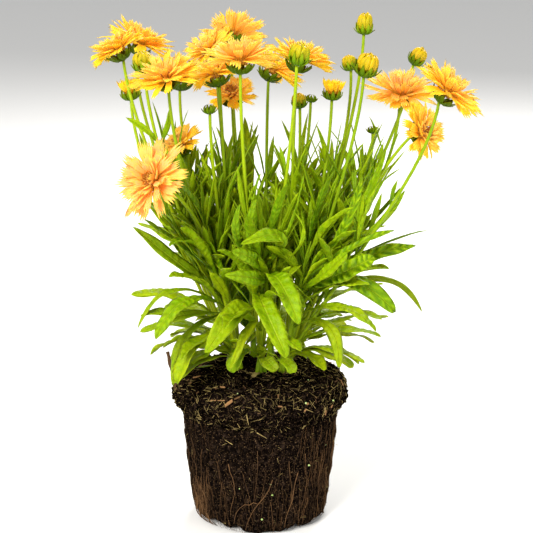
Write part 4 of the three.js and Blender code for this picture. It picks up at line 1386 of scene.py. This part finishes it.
def resampled(corners, step):
    points = []
    for (r0, z0), (r1, z1) in zip(corners, corners[1:]):
        pieces = max(1, round(math.hypot(r1 - r0, z1 - z0) / step))
        points += [(mixed((r0, r1), i / pieces), mixed((z0, z1), i / pieces)) for i in range(pieces)]
    return points + [corners[-1]]


def soil_spot(azimuth, radius, height):
    """A point of the turned form, pushed by its folds: the wall moves out, the top moves up."""
    angle = math.radians(azimuth)
    top = risen(height, *TOP_SLOPE)
    out = soil_relief(angle, height, RELIEF["wall"]) * (1 - top)
    rise = soil_relief(angle, radius * 2, RELIEF["top"]) * top
    return direction(azimuth, 0) * (radius + out) + UP * (height + rise)


def wall_radius(height):
    for (r0, z0), (r1, z1) in zip(SOIL_WALL, SOIL_WALL[1:]):
        if z0 <= height <= z1:
            return mixed((r0, r1), (height - z0) / (z1 - z0))
    return BALL["lip"]


def spot_on(run, random):
    """A random spot on a stretch of the soil, with the way that the surface faces there."""
    number = min(len(run) - 2, int(random(0, len(run) - 1)))
    (r0, z0), (r1, z1) = run[number], run[number + 1]
    azimuth, share = random(0, 360), random(0, 1)
    normal = direction(azimuth, 0) * (z1 - z0) + UP * (r0 - r1)
    return soil_spot(azimuth, mixed((r0, r1), share), mixed((z0, z1), share)), normal.normalized()


def crumble(point):
    """How far crumbs stand out at a point: coarse lumps, more of them on the lip, and fine grain."""
    coarse = 1 - 2 * noise.voronoi(point / 3.4)[0][0]
    fine = noise.fractal(point / 1.7, 0.9, 2.0, 3)
    loose = risen(point.z, *LOOSE_SLOPE)
    return coarse * mixed((0.3, 1.5), loose) + fine * mixed((0.45, 1.0), loose)


def ragged_edge(point):
    """The lower edge of the lip hangs unevenly, and the foot is broken away in places."""
    out = Vector((point.x, point.y, 0)).normalized()
    lip = max(0, 1 - abs(point.z - LIP_EDGE[0]) / LIP_EDGE[1])
    foot = max(0, 1 - point.z / FOOT_HEIGHT)
    azimuth = math.degrees(math.atan2(point.y, point.x)) % 360
    bite = sum(deep * math.exp(-(((azimuth - at + 180) % 360 - 180) / wide) ** 2)
               for at, wide, deep in BITES)
    bite = max(0, bite + 0.25 * noise.noise(out * 9))
    lift = lip * RELIEF["edge"] * noise.noise(out * 5) + foot * bite * RELIEF["chip"]
    return UP * lift - out * foot * bite * RELIEF["bite"]


print("the wall at half height:", round(wall_radius(45), 1), "mm")

# %% Turn the soil
def turn_soil():
    work = new_piece()
    profile = [(0, 0)] + resampled(SOIL_WALL, SOIL_STEP)
    verts = [work.verts.new((radius, 0, height)) for radius, height in profile]
    edges = [work.edges.new(pair) for pair in zip(verts, verts[1:])]
    bmesh.ops.spin(work, geom=verts + edges, cent=(0, 0, 0), axis=(0, 0, 1),
                   angle=2 * math.pi, steps=SOIL_SIDES, use_merge=True)
    bmesh.ops.remove_doubles(work, verts=work.verts[:], dist=0.001)
    bmesh.ops.recalc_face_normals(work, faces=work.faces[:])
    standing = [vert for vert in work.verts if vert.co.z > ON_GROUND]
    for vert in standing:
        radius = math.hypot(vert.co.x, vert.co.y)
        azimuth = math.degrees(math.atan2(vert.co.y, vert.co.x))
        spot = soil_spot(azimuth, radius, vert.co.z)
        vert.co = spot + (ragged_edge(spot) if vert.co.z < 100 else Vector())
    for vert in work.verts:
        if vert.co.z <= ON_GROUND < vert.co.length:
            vert.co += ragged_edge(vert.co) * (vert.co.length / BALL["foot"]) ** 4
    work.normal_update()
    # Each point's lay keeps how far the crumbs stand out there, and the finish paints shade into the low
    # places.
    lay = work.verts.layers.float_color[LAY]
    heaps = [crumble(vert.co) for vert in work.verts]
    for vert, heap in zip(work.verts, heaps):
        vert[lay] = (0.5, clipped(heap * 0.4 + 0.5), 0.5, 0)
    for vert in standing:
        vert.co += vert.normal * crumble(vert.co)
        vert.co.z = max(vert.co.z, 0.02)
    for face in work.faces:
        face.smooth = True
    return work


# %% Soil finishes
# The hollow colour is painted shade between the crumbs.
SOIL_HOLLOW_SHADE, SOIL_FELT, SOIL_SPECK = (0.001, 0.0008, 0.0006), (0.085, 0.046, 0.024), (0.14, 0.085, 0.04)


def make_soil_finish():
    """Dark crumbs with pale specks and painted shade in the low places between them; low on the wall they are
    felted over by upright fine roots.
    """
    material, tree = new_material("potting_soil", 1.0, 0.0, 0.0)
    lump = read_lay(tree)[1]
    color = ramp(tree, blotches(tree, 380.0, 4.0), [(0.0, (0.0012, 0.0008, 0.0007)),
                                                    (0.55, (0.005, 0.0032, 0.0026)),
                                                    (1.0, (0.032, 0.020, 0.014))])
    place = add(tree, "ShaderNodeTexCoord").outputs["Object"]
    tall = add(tree, "ShaderNodeMapping", {"Vector": place, "Scale": (1.0, 1.0, 0.06)}).outputs[0]
    streaks = add(tree, "ShaderNodeTexNoise", {"Vector": tall, "Scale": 1300.0, "Detail": 2.0}).outputs[0]
    height = add(tree, "ShaderNodeSeparateXYZ", {0: place}).outputs[2]
    wall = stretch(tree, height, 0.084, 0.060, 0.0, 1.0)
    rooted = times(tree, stretch(tree, streaks, 0.58, 0.68, 0.0, 0.8), wall)
    color = layered(tree, color, [
        (times(tree, rooted, stretch(tree, blotches(tree, 26.0), 0.35, 1.0, 0.1, 1.0)), SOIL_FELT),
        # Painted shade in the low places between the crumbs.
        (stretch(tree, lump, 0.2, 0.6, 0.85, 0.0), SOIL_HOLLOW_SHADE),
        (stretch(tree, blotches(tree, 1100.0, 1.0), 0.86, 1.0, 0.0, 0.8), SOIL_SPECK),
    ])
    grain = count(tree, "ADD", blotches(tree, 520.0, 5.0), times(tree, streaks, wall))
    return finished(material, color, grain, 0.9, 0.0014)


def make_fibre_finish(name, dark, pale, grain):
    material, tree = new_material(name, 0.8, 0.0, 0.08)
    shade = read_lay(tree)[2]
    color = ramp(tree, shade, [(0.0, dark), (1.0, pale)])
    color = layered(tree, color, [(times(tree, blotches(tree, grain), 0.5), dark)])
    return finished(material, color, blotches(tree, grain * 4), 0.5, 0.0003)


EARTH = [
    make_soil_finish(),
    make_fibre_finish("fine_root", (0.005, 0.003, 0.002), (0.30, 0.155, 0.065), 90.0),
    make_fibre_finish("straw", (0.045, 0.030, 0.010), (0.72, 0.54, 0.20), 200.0),
    make_fibre_finish("bark", (0.035, 0.018, 0.009), (0.42, 0.22, 0.09), 260.0),
    make_fibre_finish("pale_grain", (0.35, 0.48, 0.14), (0.70, 0.85, 0.40), 500.0),
]
print("soil finishes:", [material.name for material in EARTH])

# %% Roots on the wall
# Where roots crowd on the wall: azimuth and half spread, least and most height, how many, how pale.
ROOT_FIELDS = [(195, 42, 10, 84, 150, (0.0, 0.7)), (345, 42, 10, 84, 260, (0.1, 1.0)),
               (270, 46, 8, 50, 110, (0.0, 0.65)), (270, 46, 46, 84, 60, (0.0, 0.4)),
               (90, 72, 8, 84, 420, (0.0, 0.75)), (212, 13, 8, 38, 100, (0.4, 1.0))]
LONG_ROOTS = 26
# The place of each finish in the list of the root ball's materials.
SKIN = {"soil": 0, "root": 1, "straw": 2, "bark": 3, "grain": 4, "leaf": 5}
# Roots that one sees singly, as azimuths and heights on the wall.
STRAY_ROOTS = [
    [(279.6, 45), (277, 37), (273, 31), (268, 25), (264, 19), (261, 13), (259, 8), (258, 4)],
    [(268, 26), (265, 27), (262, 25), (258, 25), (254, 22), (251, 18), (249, 13), (248, 8)],
    [(246, 56), (247, 50), (249, 45), (250, 39), (250, 33), (248, 26), (246, 20), (245, 14)],
    [(300, 48), (298, 40), (297, 33), (297, 26), (294, 20), (292, 14), (291, 9), (291, 5)],
]


def add_fibre(work, points, width, finish, shade, upward):
    add_rod(work, ROOT_ROD, points, upward, lambda along: width * (1.05 - 0.6 * along), finish, shade)


def on_wall(azimuth, height, stand):
    return soil_spot(azimuth, wall_radius(height) + stand, height)


def add_wall_root(work, random, azimuth, height, width, length, shade):
    lean, wander, wind = random(-0.22, 0.22), random(0, 6.28), random(3, 7)
    points = []
    for joint in range(ROOT_RINGS + 1):
        share = joint / ROOT_RINGS
        low = max(1.2, height - length * share)
        turn = azimuth + lean * length * share + 0.8 * math.sin(wander + share * wind)
        points.append(on_wall(turn, low, 0.3 + width * 0.5))
    add_fibre(work, points, width, SKIN["root"], shade, direction(azimuth, 0))


def add_roots(work, random):
    for middle, spread, low, high, number, shades in ROOT_FIELDS:
        for _ in range(number):
            azimuth = middle + spread * random(-1, 1)
            height = random(low, high)
            pale = mixed(shades, random(0, 1) ** 2.2)
            add_wall_root(work, random, azimuth, height, random(0.08, 0.14), random(8, 30), pale)
    for _ in range(LONG_ROOTS):
        add_wall_root(work, random, random(0, 360), random(30, 80), random(0.2, 0.3), random(20, 50),
                      random(0.1, 0.5))
    for route in STRAY_ROOTS:
        points = [on_wall(*spot, 0.7) for spot in route]
        add_fibre(work, points, 0.3, SKIN["root"], 0.6, direction(270, 0))


print("roots on the wall:", sum(field[4] for field in ROOT_FIELDS) + LONG_ROOTS + len(STRAY_ROOTS))

# %% Straw, chips and crumbs
def chip_template():
    work = bmesh.new()
    bmesh.ops.create_cube(work, size=2)
    bmesh.ops.scale(work, vec=(1, 0.5, 1), verts=work.verts[:])
    bmesh.ops.translate(work, vec=(0, 0.5, 0), verts=work.verts[:])
    bmesh.ops.bevel(work, geom=work.edges[:], offset=0.12, offset_type="OFFSET", affect="EDGES",
                    segments=1, profile=0.5, material=-1)
    return keep_template(work, "chip")


def crumb_template(name, divisions):
    work = bmesh.new()
    bmesh.ops.create_icosphere(work, subdivisions=divisions, radius=1)
    return keep_template(work, name)


CHIP = chip_template()
CRUMB = crumb_template("crumb", 1)
GRAIN = crumb_template("grain", 2)


def add_straw(work, random, width, length, spot, normal, shade):
    heading = direction(random(0, 360), random(-60, 60))
    heading = (heading - normal * heading.dot(normal) * 0.7).normalized()
    side = heading.cross(normal).normalized()
    bow = random(-0.04, 0.04) * length
    shares = [joint / ROOT_RINGS - 0.5 for joint in range(ROOT_RINGS + 1)]
    points = [spot + normal * 1.1 + heading * length * share + side * bow * (1 - 4 * share**2)
              for share in shares]
    add_fibre(work, points, width, SKIN["straw"], shade, normal)


def add_chip(work, random, finish, long, wide, thick, spot, normal, turned=None, shade=None):
    """turned is the chip's angle from level on the surface; without it, the chip lies as it fell."""
    turn = Matrix.Rotation(random(0, 6.28) if turned is None else math.radians(turned - 90), 3, "Z")
    tilt = Matrix.Rotation(random(-0.35, 0.35), 3, "X") @ Matrix.Rotation(random(-0.35, 0.35), 3, "Y")
    level = UP.cross(normal).normalized()
    place = Matrix((level, normal.cross(level), normal)).transposed() @ turn @ tilt
    sizes = [long * random(0.85, 1.15), wide * random(0.85, 1.15), thick * random(0.8, 1.2)]
    ragged = random(0, 50)

    def shape(across, along, side):
        jag = 0.25 * noise.noise(Vector((across * 2, along * 3, ragged)))
        local = Vector((across * sizes[1] / 2 * (1 + jag), (along - 0.5) * sizes[0] * (1 + jag),
                        side * sizes[2] / 2))
        return spot + normal * 0.8 + place @ local
    paste(work, CHIP, shape, finish, random(0, 1) if shade is None else shade)
    for face in work.faces[-len(CHIP.polygons):]:
        face.smooth = False


def add_crumb(work, random, template, finish, size, spot, normal):
    ragged, flat = random(0, 50), random(0.6, 1.0)

    def shape(x, y, z):
        ball = Vector((x, y, z))
        ball *= 1 + 0.45 * noise.noise(ball * 1.7 + Vector((ragged, 0, 0)))
        ball.z *= flat
        return spot + normal * size * 0.3 + ball * size
    paste(work, template, shape, finish, random(0, 1))


# %% Litter one sees singly
# A chip has an azimuth, a height on the lip or a radius on the top, its length and width, and how far
# it is turned from level. A grain has an azimuth and a height, and a straw has two ends like that.
SHOWN_CHIPS = [(238, 50, 3.6, 3.0, 50), (249, 105, 8, 2.4, 38), (345, 105, 4.5, 2.8, 15),
               (240, 105.8, 12, 0.8, 14), (203, 50, 6, 1.6, 70), (300, 98.5, 3.4, 0.9, 35),
               (316, 93, 4, 1.0, 50), (322, 96, 3, 0.8, 30)]
SHOWN_GRAINS = [(279.6, 33), (271.7, 13), (309.8, 52), (324.4, 100), (301.5, 104), (240, 106)]
SHOWN_STRAWS = [[(268, 82.6), (275, 78.3)], [(262, 98), (263, 90)], [(301, 99), (306, 96)],
                [(316, 97), (314, 90)], [(250, 72), (244, 75)]]
STUB = [Vector((-60, -13, 98)), Vector((-62.6, -13.5, 108)), Vector((-65, -13.5, 118)),
        Vector((-67.5, -14, 129))]
# Azimuth, radius, heading, length, width and finish of a piece of a cut leaf, and of a withered leaf.
FALLEN_LEAVES = [(184, 41, 22, 13, 3.6, SKIN["leaf"]), (262, 24, 250, 15, 5, SKIN["straw"])]


def add_shown_litter(work, random):
    for azimuth, place, long, wide, turned in SHOWN_CHIPS:
        on_lip = place > BALL["lip"]
        spot = on_wall(azimuth, place, 0.4) if on_lip else soil_spot(azimuth, place, soil_height(place) + 0.6)
        normal = direction(azimuth, 30 if on_lip else 80)
        add_chip(work, random, SKIN["bark"], long, wide, 0.6, spot, normal, turned, 0.8)
    for azimuth, height in SHOWN_GRAINS:
        spot = on_wall(azimuth, height, 0.5)
        add_crumb(work, random, GRAIN, SKIN["grain"], 0.75, spot, direction(azimuth, 0))
    for (start, top), (end, low) in SHOWN_STRAWS:
        shares = [joint / ROOT_RINGS for joint in range(ROOT_RINGS + 1)]
        points = [on_wall(mixed((start, end), share), mixed((top, low), share), 1.0) for share in shares]
        add_fibre(work, points, 0.24, SKIN["straw"], 0.9, direction(start, 0))


def add_stub(work):
    """The stub of an old shoot, cut off at the left rim."""
    add_rod(work, STALK_ROD, STUB, TO_BACK,
            lambda along: 2.3 - 0.9 * along + 0.3 * math.sin(along * 19), SKIN["bark"], 0.12)


def add_fallen_leaf(work, azimuth, radius, heading, length, width, finish):
    root = soil_spot(azimuth, radius, soil_height(radius) + 2) - direction(heading, 0) * length / 2
    leaf = {"root": root, "heading": heading, "climb": 4, "droop": 8, "turn": 6, "length": length,
            "width": width, "peak": 0.8, "blunt": 0.3}
    frames = frames_along(grown_line(leaf), LEAF_STEPS, UP)

    def place(across, along, side):
        point, right, _, up = frames[round(along * LEAF_STEPS)]
        crumple = 0.5 * math.sin(along * 14 + across * 2) if finish == SKIN["straw"] else 0
        return point + right * across * leaf_half_width(leaf, along) + up * (side * 0.25 + crumple)
    paste(work, SLIM_BLADE, place, finish, 0.8, 1.0)


print("seen singly:", len(SHOWN_CHIPS) + len(SHOWN_GRAINS) + len(SHOWN_STRAWS) + len(FALLEN_LEAVES) + 1)

# %% Litter all over
PROFILE = resampled(SOIL_WALL, 1.0)
TOP_RUN, LIP_RUN, WALL_RUN = PROFILE[104:154], PROFILE[84:112], PROFILE[4:82]
# Straws: how many, how thick and how long at most, how dull. Crumbs: how many, how small, how large.
# Chips: how many, their finish, length, width, thickness and how pale at most. Grains: how many.
STRAWS = [(TOP_RUN, 950, 0.16, 8, 1.1), (LIP_RUN, 600, 0.12, 7, 1.5), (WALL_RUN, 120, 0.11, 5, 1.3)]
CRUMBS = [(TOP_RUN, 560, 0.5, 1.7), (LIP_RUN, 900, 0.4, 1.5), (WALL_RUN, 260, 0.3, 0.8)]
CHIPS = [(TOP_RUN, 60, SKIN["bark"], (1.5, 4), (0.6, 1.5), 0.5, 0.7),
         (LIP_RUN, 50, SKIN["straw"], (2, 4.5), (0.4, 0.8), 0.4, 0.6)]
GRAINS = [(TOP_RUN, 6), (LIP_RUN, 4), (WALL_RUN, 6)]


def add_litter(work, random):
    for run, number, widest, longest, dull in STRAWS:
        for _ in range(number):
            pale = random(0, 1) ** dull
            add_straw(work, random, random(0.06, widest), random(1.5, longest), *spot_on(run, random), pale)
    for run, number, smallest, largest in CRUMBS:
        for _ in range(number):
            size = random(smallest, largest)
            add_crumb(work, random, CRUMB, SKIN["soil"], size, *spot_on(run, random))
    for run, number, finish, long, wide, thick, palest in CHIPS:
        for _ in range(number):
            sizes = random(*long), random(*wide), thick
            add_chip(work, random, finish, *sizes, *spot_on(run, random), None, random(0, palest))
    for run, number in GRAINS:
        for _ in range(number):
            size = random(0.35, 0.6)
            add_crumb(work, random, GRAIN, SKIN["grain"], size, *spot_on(run, random))


def make_root_ball():
    """The soil, its roots and its litter are three pieces that together stand for one solid."""
    random = make_random(SEED)
    finish_piece(turn_soil(), "moulded_soil", "root_ball", EARTH)
    roots, litter = new_piece(), new_piece()
    add_roots(roots, random)
    finish_piece(roots, "soil_roots", "root_ball", EARTH)
    add_litter(litter, random)
    add_shown_litter(litter, random)
    add_stub(litter)
    for fallen in FALLEN_LEAVES:
        add_fallen_leaf(litter, *fallen)
    finish_piece(litter, "soil_litter", "root_ball", EARTH + [LEAF_FINISH])


print("runs in mm:", [(round(run[0][1]), round(run[-1][1])) for run in (WALL_RUN, LIP_RUN, TOP_RUN)])
make_root_ball()

# %% [markdown]
# ## Finish
# The templates have done their work, so they are removed.

# %% Remove the templates
for template in (PETAL, SLIM_BLADE, BRACT_BLADE, FILL_BLADE, BROAD_BLADE, STALK_ROD, ROOT_ROD, CHIP,
                 CRUMB, GRAIN):
    bpy.data.meshes.remove(template)
